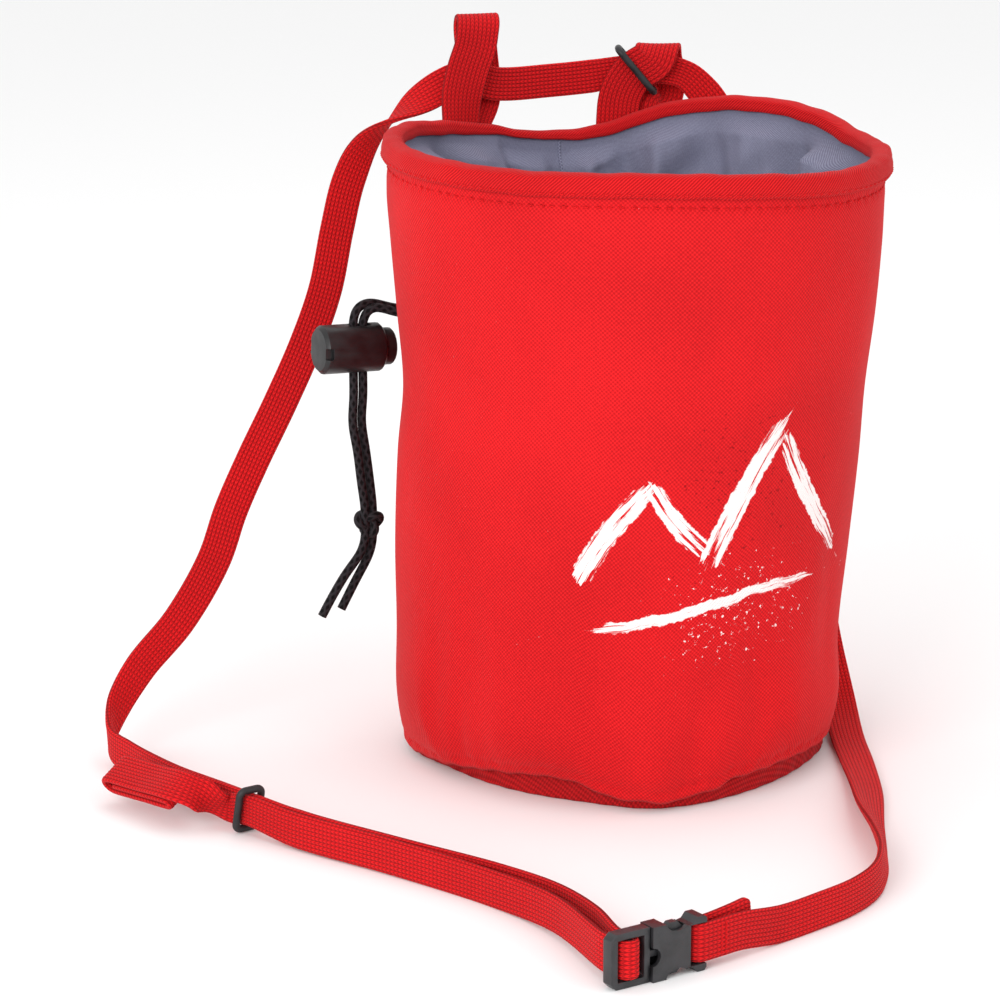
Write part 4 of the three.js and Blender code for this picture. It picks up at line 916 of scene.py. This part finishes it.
left_loop = {"angle": 133.5, "back_angle": 128, "height": 29, "lean": 6.5, "turn": 288,
             "front": [(0.25, 0.08), (0.5, 0.35), (0.72, 0.7)], "back": [(0.6, 1.1), (0.18, 1.25)]}
right_loop = {"angle": 92.5, "back_angle": 84, "height": 20, "lean": 12.5, "turn": 270,
              "front": [(0.25, 0.04), (0.46, 0.17), (0.66, 0.42)], "back": [(0.55, 1.08), (0.25, 1.04)]}


def over_loop(loop, up, lean, back):
    """A point over the rim at a loop: above it, along it, and behind its front leg."""
    start = on_wall(loop["angle"], rim_top(loop["angle"]), over_binding + leg_out)
    return (start + facing(loop["turn"] + 90) * lean + facing(loop["turn"] + 180) * back
            + np.array([0, 0, up]))


def loop_stations(loop):
    """A loop: up the wall, over the tape, up its front leg, round half a circle and down behind."""
    rim, back_rim = rim_top(loop["angle"]), rim_top(loop["back_angle"])
    height, lean, bend = loop["height"], loop["lean"], loop_spread / 2
    low = loop_sewn_length + binding_height
    front = facing(loop["turn"])
    found = []
    for drop, out in ((low, leg_out), (2.4 * binding_height, leg_out),
                      (1.2 * binding_height, over_binding + leg_out), (0, over_binding + leg_out)):
        found.append(station(on_wall(loop["angle"], rim - drop, out), facing(loop["angle"] + 180)))
    for up, share in loop["front"]:
        found.append(station(over_loop(loop, up * height, share * lean, 0), front))
    for turn in range(0, 181, 30):
        c, s = cos_sin(turn)
        along = lean * (0.8 + 0.2 * math.sin(math.radians(turn / 2)))
        point = over_loop(loop, height - bend * (1 - s), along, bend * (1 - c))
        found.append(station(point, front * c + np.array([0, 0, s])))
    for up, share in loop["back"]:
        found.append(station(over_loop(loop, up * height, share * lean, 1.9 * bend), -front))
    for drop, out in ((0, over_binding + second_out), (1.2 * binding_height, over_binding + second_out),
                      (2.4 * binding_height, second_out), (low, second_out)):
        found.append(station(on_wall(loop["back_angle"], back_rim - drop, out), facing(loop["back_angle"])))
    return found


def belt_in_loop(loop, up, lean, width):
    point = over_loop(loop, up * loop["height"], lean * loop["lean"], behind_leg)
    return station(point, facing(loop["turn"]), width)


# The belt's route: x and y in mouth radii, height in bag heights, turn and tilt of its face, and the share
# of its width
front_rows = [
    (0.51, -2.32, 0, 310, 0), (0.66, -2.18, 0, 314, 0), (0.79, -2.04, 0, 326, 0), (0.89, -1.87, 0, 343, 2),
    (0.94, -1.66, 0, 355, 8), (0.95, -1.42, 0, 2, 20), (0.95, -1.09, 0.002, 5, 45),
    (0.97, -0.69, 0.002, 8, 70), (0.97, -0.27, 0.002, 10, 86),
    (0.96, 0.06, 0.004, 280, 86), (0.95, 0.36, 0.02, 270, 60)]
climb_rows = [
    (0.9, 0.66, 0.11, 270, 38), (0.84, 0.9, 0.29, 268, 17), (0.75, 1.04, 0.5, 266, 8),
    (0.65, 1.12, 0.7, 266, 2), (0.54, 1.14, 0.86, 268, -3),
    (0.46, 1.12, 0.935, 270, 0), (0.39, 1.1, 0.978, 270, 0),
    (0.29, 1.09, 1.013, 270, 0, 0.86)]
between_rows = [(-0.1, 1.065, 1.01, 274, 0), (-0.28, 1, 1.006, 284, 0), (-0.5, 0.885, 1.006, 290, 0)]
arch_rows = [
    (-0.82, 0.78, 0.988, 250, 22), (-0.94, 0.76, 0.962, 180, 52), (-1.06, 0.73, 0.914, 115, 25),
    (-1.13, 0.7, 0.857, 98, 6), (-1.18, 0.66, 0.778, 95, 0), (-1.23, 0.6, 0.682, 92, 0),
    (-1.31, 0.52, 0.596, 92, 0), (-1.42, 0.43, 0.503, 92, 0),
    (-1.53, 0.36, 0.417, 95, 0), (-1.62, 0.28, 0.34, 98, 0),
    (-1.69, 0.21, 0.263, 100, 0), (-1.83, 0.1, 0.173, 104, 0), (-1.99, -0.01, 0.104, 112, 0),
    (-2.08, -0.11, 0.045, 140, 0), (-2.09, -0.25, 0.01, 190, 0), (-1.99, -0.41, 0.002, 210, 0),
    (-1.76, -0.71, 0.004, 214, -24)]
ring_row = (-1.455, -1.11, 0, 216, 0, ring_pinch)
beside_ring_row = (-1.52, -1.025, 0.004, 216, -6, 0.88)
paired_rows = [(-1.26, -1.29, 0.004, 221, 0), (-0.87, -1.59, 0.001, 228, 0)]
open_rows = [(-0.49, -1.88, 0, 228, 0), (-0.28, -2.13, 0.005, 216, 0), (-0.15, -2.4, 0.01, 208, 0)]
tail_rows = [(-0.3, -2.25, 0.006, 210, 0), (-0.52, -1.95, 0, 226, 0)]


def route_station(row):
    """A station of the belt standing on its edge, or lying by its tilt, over the floor."""
    x, y, low, turn, tilt = row[:5]
    flat, up = cos_sin(tilt)
    z = floor_gap + low * bag_height + belt_width / 2 * flat + belt_thickness / 2 * abs(up)
    width = row[5] if len(row) > 5 else 1.0
    return station((x * mouth_radius, y * mouth_radius, z), facing(turn, tilt), width)


def front_layer(first):
    point, face, width = first
    return station(point + face * layer_pitch, -face, width)


# The buckle stands on its edge: u runs along it from its split, n out of its front, w up
buckle_place = np.array([0.013 * mouth_radius, -2.69 * mouth_radius, floor_gap + buckle_height / 2])
buckle_along, buckle_front = facing(34.5), facing(-55.5)
wrap_reach = buckle_bar / 2 + sewn_gap + belt_thickness / 2
female_bar = female_length - buckle_bar / 2
male_bar = -buckle_shoulder - buckle_slot - buckle_bar / 2


def in_buckle(u, n, w=0.0):
    return buckle_place + buckle_along * u + buckle_front * n + np.array([0, 0, w])


def around_bar(bar, first, last, outward):
    """Stations round a bar of the buckle, facing out or in."""
    found = []
    for turn in np.linspace(first, last, 7):
        u, n = cos_sin(turn)
        found.append(station(in_buckle(bar + wrap_reach * u, wrap_reach * n),
                             outward * (buckle_along * u + buckle_front * n)))
    return found


def sewn_end_stations():
    """The belt's end: a tab behind, round the female bar, and forward."""
    behind = lambda u, n, w: station(in_buckle(female_length + u, n, w), -buckle_front)
    before = lambda u, n: station(in_buckle(female_length + u, n), buckle_front)
    return [behind(tab_length, -0.9 * layer_pitch, tab_rise),
            behind(0.7 * tab_length, -0.62 * layer_pitch, 0.75 * tab_rise),
            behind(0.3 * tab_length, -0.75 * layer_pitch, 0.3 * tab_rise),
            *around_bar(female_bar, 290, 70, 1),
            before(0.25 * tab_length, 0.8 * layer_pitch), before(0.7 * tab_length, 0.5 * layer_pitch)]


def weave_stations():
    """The belt from behind through the inner slot, over the middle bar and back."""
    side = wrap_reach + 0.05 * belt_thickness
    up = lambda n: station(in_buckle(male_bar + side, n), -buckle_along)
    down = lambda n: station(in_buckle(male_bar - side, n), buckle_along)
    return [up(-3.6 * belt_thickness), up(-1.5 * belt_thickness), *around_bar(male_bar, 0, 180, -1),
            down(-1.5 * belt_thickness), down(-3.4 * belt_thickness)]


def tail_fold_stations():
    """The belt's tail folded in three: a top layer, a bottom layer and one between."""
    start = np.array([-1.7 * mouth_radius, -1.05 * mouth_radius, floor_gap + 0.045 * bag_height])
    end = np.array([-2.01 * mouth_radius, -0.71 * mouth_radius, floor_gap + 0.034 * bag_height])
    along = (end - start) / np.linalg.norm(end - start)
    up = facing(math.degrees(math.atan2(along[1], along[0])) + 90, 58)
    up = up - up.dot(along) * along
    up /= np.linalg.norm(up)
    place = lambda a, k: start + along * a + up * k * layer_pitch
    flat = lambda a, k, side: station(place(a, k), -side * up)

    def bend(a, k, radius, first, last, parts):
        found = []
        for turn in np.radians(np.linspace(first, last, parts + 1)):
            out = along * math.cos(turn) + up * math.sin(turn)
            found.append(station(place(a, k) + out * radius, -out))
        return found

    outer, half = tail_fold_length - layer_pitch, 0.5 * tail_fold_length
    return [flat(0, 2, 1), flat(half, 2, 1), *bend(outer, 1, layer_pitch, 90, -90, 6), flat(half, 0, -1),
            *bend(2 * layer_pitch, 0.5, layer_pitch / 2, 270, 90, 4), flat(half, 1, 1),
            flat(outer - 0.6 * layer_pitch, 1, 1)]


belt_in_right = belt_in_loop(right_loop, 0.66, 0.42, ring_pinch)
belt_in_left = belt_in_loop(left_loop, 0.4, 0.15, 1.0)
ring_station = route_station(ring_row)
ring_station[0][2] = floor_gap + ring_wire + 2 * cord_gap + belt_width * ring_pinch / 2
belt_stations = [
    *sewn_end_stations(), *map(route_station, front_rows), *map(route_station, climb_rows), belt_in_right,
    *map(route_station, between_rows), belt_in_left, *map(route_station, arch_rows), ring_station,
    *map(route_station, paired_rows), *map(route_station, open_rows), *weave_stations(),
    *[station(p, -f) for p, f, _ in map(route_station, tail_rows)],
    *[front_layer(route_station(row)) for row in paired_rows[::-1]], front_layer(ring_station),
    front_layer(route_station(beside_ring_row)), *tail_fold_stations()]

strap("belt", belt_stations, belt_width, belt_thickness, 9, web_red, nodes=["belt_webbing"],
      step=0.7, sigma=1.3, round_ends=(2.2, 0.8))
for side, loop in (("left", left_loop), ("right", right_loop)):
    strap(f"loop_{side}", loop_stations(loop), loop_width, loop_thickness, 10, loop_red,
          nodes=[f"belt_loop_{side}"], step=0.6, sigma=1.6)


# ---- rings ----


def build_ring(name, middle, across, through, width, depth, node):
    """A rubber ring: a round wire round a rounded rectangle across the straps that it holds."""
    corner = 2 * cord_gap + ring_wire / 2
    half_width = width / 2 + cord_gap + ring_wire / 2 - corner
    half_depth = depth / 2 + cord_gap + ring_wire / 2 - corner
    line = []
    for a, d, start in ((1, 1, 0), (-1, 1, 90), (-1, -1, 180), (1, -1, 270)):
        for turn in np.radians(start + np.linspace(0, 90, 9)):
            line.append(middle + across * (a * half_width + corner * math.cos(turn))
                        + through * (d * half_depth + corner * math.sin(turn)))
    line = np.array(line)
    filled = []
    for a, b in zip(line, np.roll(line, -1, 0)):
        parts = max(1, round(np.linalg.norm(b - a) / 0.6))
        filled.extend(a + (b - a) * k / parts for k in range(parts))
    return tube(name, filled, ring_wire / 2, 20, rubber_black, closed=True, nodes=[node])


build_ring("ring_front", ring_station[0] + ring_station[1] * layer_pitch / 2,
           np.array([0, 0, math.cos(math.radians(front_ring_lean))])
           + facing(ring_row[3] + 90) * math.sin(math.radians(front_ring_lean)),
           ring_station[1], belt_width * ring_pinch + 2 * cord_gap, belt_thickness + layer_pitch,
           "keeper_ring_front")
build_ring("ring_top",
           belt_in_right[0] + facing(right_loop["turn"]) * (loop_thickness + sewn_gap + loop_ease) / 2,
           facing(right_loop["turn"] + 90, -top_ring_lean), facing(right_loop["turn"]),
           loop_width + 2 * loop_ease, belt_thickness + loop_thickness + sewn_gap + loop_ease,
           "keeper_ring_top")


# ---- buckle and cord lock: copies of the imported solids, their corners joined and then rounded ----


def rounded_copy(name, node, material, radius, body=BAG):
    """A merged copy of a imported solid, with its flat faces joined and its sharp edges rounded."""
    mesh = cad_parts[node].data.copy()
    mesh.name = name
    mesh.materials.clear()
    mesh.materials.append(material)
    form = bmesh.new()
    form.from_mesh(mesh)
    bmesh.ops.remove_doubles(form, verts=form.verts, dist=0.00002)
    bmesh.ops.dissolve_limit(form, angle_limit=math.radians(1.5), verts=form.verts, edges=form.edges)
    form.to_mesh(mesh)
    form.free()
    piece = added(name, mesh)
    bevel = piece.modifiers.new("rounding", "BEVEL")
    bevel.width = radius * MM
    bevel.segments = 3
    bevel.limit_method = "ANGLE"
    bevel.angle_limit = math.radians(32)
    bevel.harden_normals = True
    mesh.polygons.foreach_set("use_smooth", np.ones(len(mesh.polygons), bool))
    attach(piece, body)
    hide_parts(node)
    return piece


rounded_copy("buckle_inner_part", "buckle_male", plastic_dark, 0.3)
rounded_copy("buckle_outer_part", "buckle_female", plastic_dark, 0.35)
barrel = rounded_copy("lock_barrel", "cord_lock_barrel", plastic_black, 0.3)
plunger = rounded_copy("lock_plunger_part", "cord_lock_plunger", plastic_black, 0.25, PLUNGER)


# ---- drawcord ----

lock_start = np.array([-0.944 * mouth_radius, 0.282 * mouth_radius, 0.642 * bag_height])
lock_axis = facing(205, 1.5)
cord_at = 10.0  # where the cords cross the lock, along its axis
cord_step = 0.6
cord_smoothing = 3.2
eyelet_radius = 1.75
eyelet_wire = 0.5
cord_pitch = cord_diameter + cord_gap
knot_place = np.array([-69.6, 12.8, 61.2])
knot_side = facing(42)

cord_a = {"angle": 157.5, "side": -1,
          "before": [(-62, 22.6, 120.2), (-66, 20, 121.8), (-70, 17, 122.9), (-72.8, 14.6, 121.4)],
          "between": [(-73.5, 12.4, 97), (-73.9, 11.8, 90), (-72.6, 11.6, 82), (-71.6, 11.6, 73)],
          "after": [(-71.8, 11.4, 53), (-75.8, 10.6, 47.5), (-80, 9.6, 40.5), (-82.8, 9, 35.2)]}
cord_b = {"angle": 164.5, "side": 1,
          "before": [(-63.6, 17.6, 120.6), (-66.9, 16.6, 121.9), (-69.6, 15.5, 121.2)],
          "between": [(-71, 14.6, 97), (-71.5, 14.2, 90), (-70.4, 14.1, 82), (-69.3, 13.8, 73)],
          "after": [(-69.4, 13.6, 52.5), (-73, 13, 45.5), (-75.8, 12.2, 40), (-77.5, 11.6, 36.6)]}
hole_height = 119.8


def cord_line(route):
    """The cord's centreline: out of the wall, over and down through the lock and the knot to its bare end."""
    in_lock = lock_start + lock_axis * (cord_at - route["side"] * cord_pitch / 2)
    in_knot = knot_place + knot_side * route["side"] * cord_pitch / 2
    up = lambda h: np.array([0, 0, h])
    reach = barrel_diameter / 2
    points = [on_wall(route["angle"], hole_height, -wall_thickness),
              on_wall(route["angle"], hole_height, cord_diameter), *route["before"],
              in_lock + up(reach), in_lock, in_lock - up(reach), *route["between"],
              in_knot + up(knot_height / 2), in_knot, in_knot - up(knot_height / 2), *route["after"]]
    counts = [max(2, round(np.linalg.norm(np.subtract(b, a)) / cord_step))
              for a, b in zip(points[:-1], points[1:])]
    return smoothed(through_points(points, counts), cord_smoothing)


def build_knot():
    """The knot: one strand along x = sin t + 2 sin 2t, z = cos t - 2 cos 2t, depth = -sin 3t, drawn tight,
    with its flat side to the front."""
    t = np.linspace(0, 2 * math.pi, 160, endpoint=False)
    side, out = facing(10), facing(280)
    wide, tall = (knot_diameter - cord_diameter) / 5.0, (knot_height - cord_diameter) / 5.6
    line = (knot_place + side * ((np.sin(t) + 2 * np.sin(2 * t)) * wide)[:, None]
            + np.array([0, 0, 1]) * ((np.cos(t) - 2 * np.cos(2 * t)) * tall)[:, None]
            - out * (np.sin(3 * t) * 1.15)[:, None])
    return tube("knot", line, 0.5 * cord_diameter, 18, cord_black, closed=True, nodes=["cord_knot"])


knot = build_knot()
for name, node, route, parts in (("cord_a", "drawcord_a", cord_a, [knot, barrel, plunger]),
                                 ("cord_b", "drawcord_b", cord_b, [])):
    line = cord_line(route)
    piece = tube(name, line, cord_diameter / 2, 18, cord_black, nodes=[node])


# ---- sewing ----


def build_stitches(name, middles, along, out, length, width, material):
    """Stitches as one mesh: each a short tube of six sides, thick in its middle and sunk at its ends."""
    middles, along, out = (np.asarray(a, float) for a in (middles, along, out))
    along = along / np.linalg.norm(along, axis=-1, keepdims=True)
    out = out - (out * along).sum(-1, keepdims=True) * along
    out = out / np.linalg.norm(out, axis=-1, keepdims=True)
    side = np.cross(along, out)
    share = np.array([-1, -0.8, -0.3, 0.3, 0.8, 1])
    thick = np.array([0.15, 0.75, 1, 1, 0.75, 0.15]) * width / 2
    sunk = np.array([-0.8, -0.25, 0, 0, -0.25, -0.8]) * width / 2
    turn = np.linspace(0, 2 * math.pi, 6, endpoint=False)
    points = (middles[:, None, None] + along[:, None, None] * (share * length / 2)[None, :, None, None]
              + out[:, None, None] * (sunk[:, None] + thick[:, None] * np.cos(turn))[None, ..., None]
              + side[:, None, None] * (thick[:, None] * np.sin(turn))[None, ..., None])
    count, rings, sides = points.shape[:3]
    cell = np.arange(rings * sides).reshape(rings, sides)
    nearby = np.roll(cell, -1, 1)
    quads = np.stack([cell[:-1], nearby[:-1], nearby[1:], cell[1:]], -1).reshape(-1, 4)
    faces, loops_uv = [], []
    v_grid = grid(np.arange(rings)[:, None] / 5 * length, turn[None] / 6.3).reshape(-1, 2)
    for i in range(count):
        base = i * rings * sides
        faces.extend((quads + base).tolist())
        faces.append((cell[0][::-1] + base).tolist())
        faces.append((cell[-1] + base).tolist())
        loops_uv.extend([v_grid[quads.ravel()], v_grid[cell[0][::-1]], v_grid[cell[-1]]])
    return make_piece(name, points.reshape(-1, 3), faces, np.vstack(loops_uv), material, BAG, ())


def ring_of_stitches(name, drop, pitch, length, width, lift):
    """A line of stitches right round the bag, a drop below the rim."""
    count = round(2 * math.pi * mouth_radius / pitch)
    at = np.arange(count) * 360 / count
    z = rim_top(at) - drop
    middles = on_wall(at, z, creases(at, z) * 0.6 + lift)
    ahead = on_wall(at + 0.5, rim_top(at + 0.5) - drop, lift)
    out = around_bag(at, 1.0, z) - around_bag(at, 0.0, z)
    along = ahead - on_wall(at, z, lift)
    return build_stitches(name, middles, along, out, length, width, thread_red)


def across_strap(u_places, n, half_width, count):
    """Stitch middles across the belt by the buckle, in rows at the given places along it."""
    return np.array([in_buckle(female_length + u, n, w) for u in u_places
                     for w in np.linspace(-half_width, half_width, count)])


ring_of_stitches("stitches_under_tape", binding_height + 2.6, 3.0, 2.0, 0.55, -0.3)
tape_out = sewn_gap + binding_thickness + 0.42
tape_stitches = 150
at = np.arange(tape_stitches) * 360 / tape_stitches
z = rim_top(at) - binding_height + 0.9
foot = wall_radius(at, rim_top(at))
build_stitches("stitches_tape", around_bag(at, foot + tape_out - 0.12, z),
               around_bag(at + 1, foot, z) - around_bag(at, foot, z),
               around_bag(at, 1.0, z) - around_bag(at, 0.0, z), 1.9, 0.5, thread_red)
tab_rows = across_strap((4.6, 5.9), 0.8 * layer_pitch + belt_thickness / 2 - 0.1, 3.6, 7)
build_stitches("stitches_tab", tab_rows, np.tile([0, 0, 1.0], (len(tab_rows), 1)),
               np.tile(buckle_front, (len(tab_rows), 1)), 1.1, 0.5, thread_red)
for side, loop in (("left", left_loop), ("right", right_loop)):
    out = second_out + loop_thickness / 2 - 0.05
    rows = []
    for drop in (16.0, 21.0):
        for k in np.linspace(-1, 1, 8):
            turn = loop["back_angle"] + k * math.degrees(0.42 * loop_width / mouth_radius)
            rows.append((turn, rim_top(loop["back_angle"]) - drop))
    rows = np.array(rows)
    facing_out = np.tile(facing(loop["back_angle"]), (len(rows), 1))
    flat_at = on_wall(loop["back_angle"], rows[:, 1], out)
    shift = (rows[:, 0] - loop["back_angle"]) * math.radians(1) * mouth_radius
    build_stitches(f"stitches_loop_{side}", flat_at + facing(loop["back_angle"] + 90) * shift[:, None],
                   np.tile(facing(loop["back_angle"] + 90), (len(rows), 1)), facing_out, 1.2, 0.5, thread_red)
for name, route in (("eyelet_a", cord_a), ("eyelet_b", cord_b)):
    middle = on_wall(route["angle"], hole_height, 0.1)
    turn = np.linspace(0, 2 * math.pi, 36, endpoint=False)
    line = (middle + facing(route["angle"] + 90) * (eyelet_radius * np.cos(turn))[:, None]
            + np.array([0, 0, 1]) * (eyelet_radius * np.sin(turn))[:, None])
    tube(name, line, eyelet_wire, 10, thread_red, closed=True)


# ---- floor, light and camera ----

floor = added("floor", bpy.data.meshes.new("floor"))
reach = 40.0
floor.data.from_pydata([(-reach, -reach, 0), (reach, -reach, 0), (reach, reach, 0), (-reach, reach, 0)], [],
                       [(0, 1, 2, 3)])
floor_white, _, _ = new_finish("pale floor", Base_Color=(0.93, 0.93, 0.93, 1), Roughness=0.9,
                               Specular_IOR_Level=0.1)
floor.data.materials.append(floor_white)

world = bpy.data.worlds.new("studio")
world.use_nodes = True
background = world.node_tree.nodes["Background"].inputs
background[0].default_value = (1, 1, 1, 1)
background[1].default_value = 0.97
bpy.context.scene.world = world
bpy.context.scene.view_settings.view_transform = "Standard"


def add_light(name, place, aim, size, power):
    """A square soft light that looks from its place to its aim."""
    data = bpy.data.lights.new(name, "AREA")
    data.energy, data.size = power, size
    lamp = added(name, data)
    lamp.location = place
    lamp.rotation_euler = (Vector(aim) - Vector(place)).to_track_quat("-Z", "Y").to_euler()


add_light("key", (-0.5, -0.95, 0.5), (0, 0, 0.08), 0.6, 6.5)
add_light("fill", (0.8, -0.6, 0.5), (0, 0, 0.08), 0.9, 1.2)
add_light("top", (0.1, 0.4, 1.1), (0, 0, 0.1), 0.8, 1.6)

camera_data = bpy.data.cameras.new("view")
camera_data.sensor_width = 36.0
camera_data.lens = 134.676
camera_data.clip_end = 100.0
camera = added("view", camera_data)
camera.location = (-0.033, -1.0, 0.318)
camera.rotation_euler = (math.radians(90 - 13.88), 0, 0)
bpy.context.scene.camera = camera
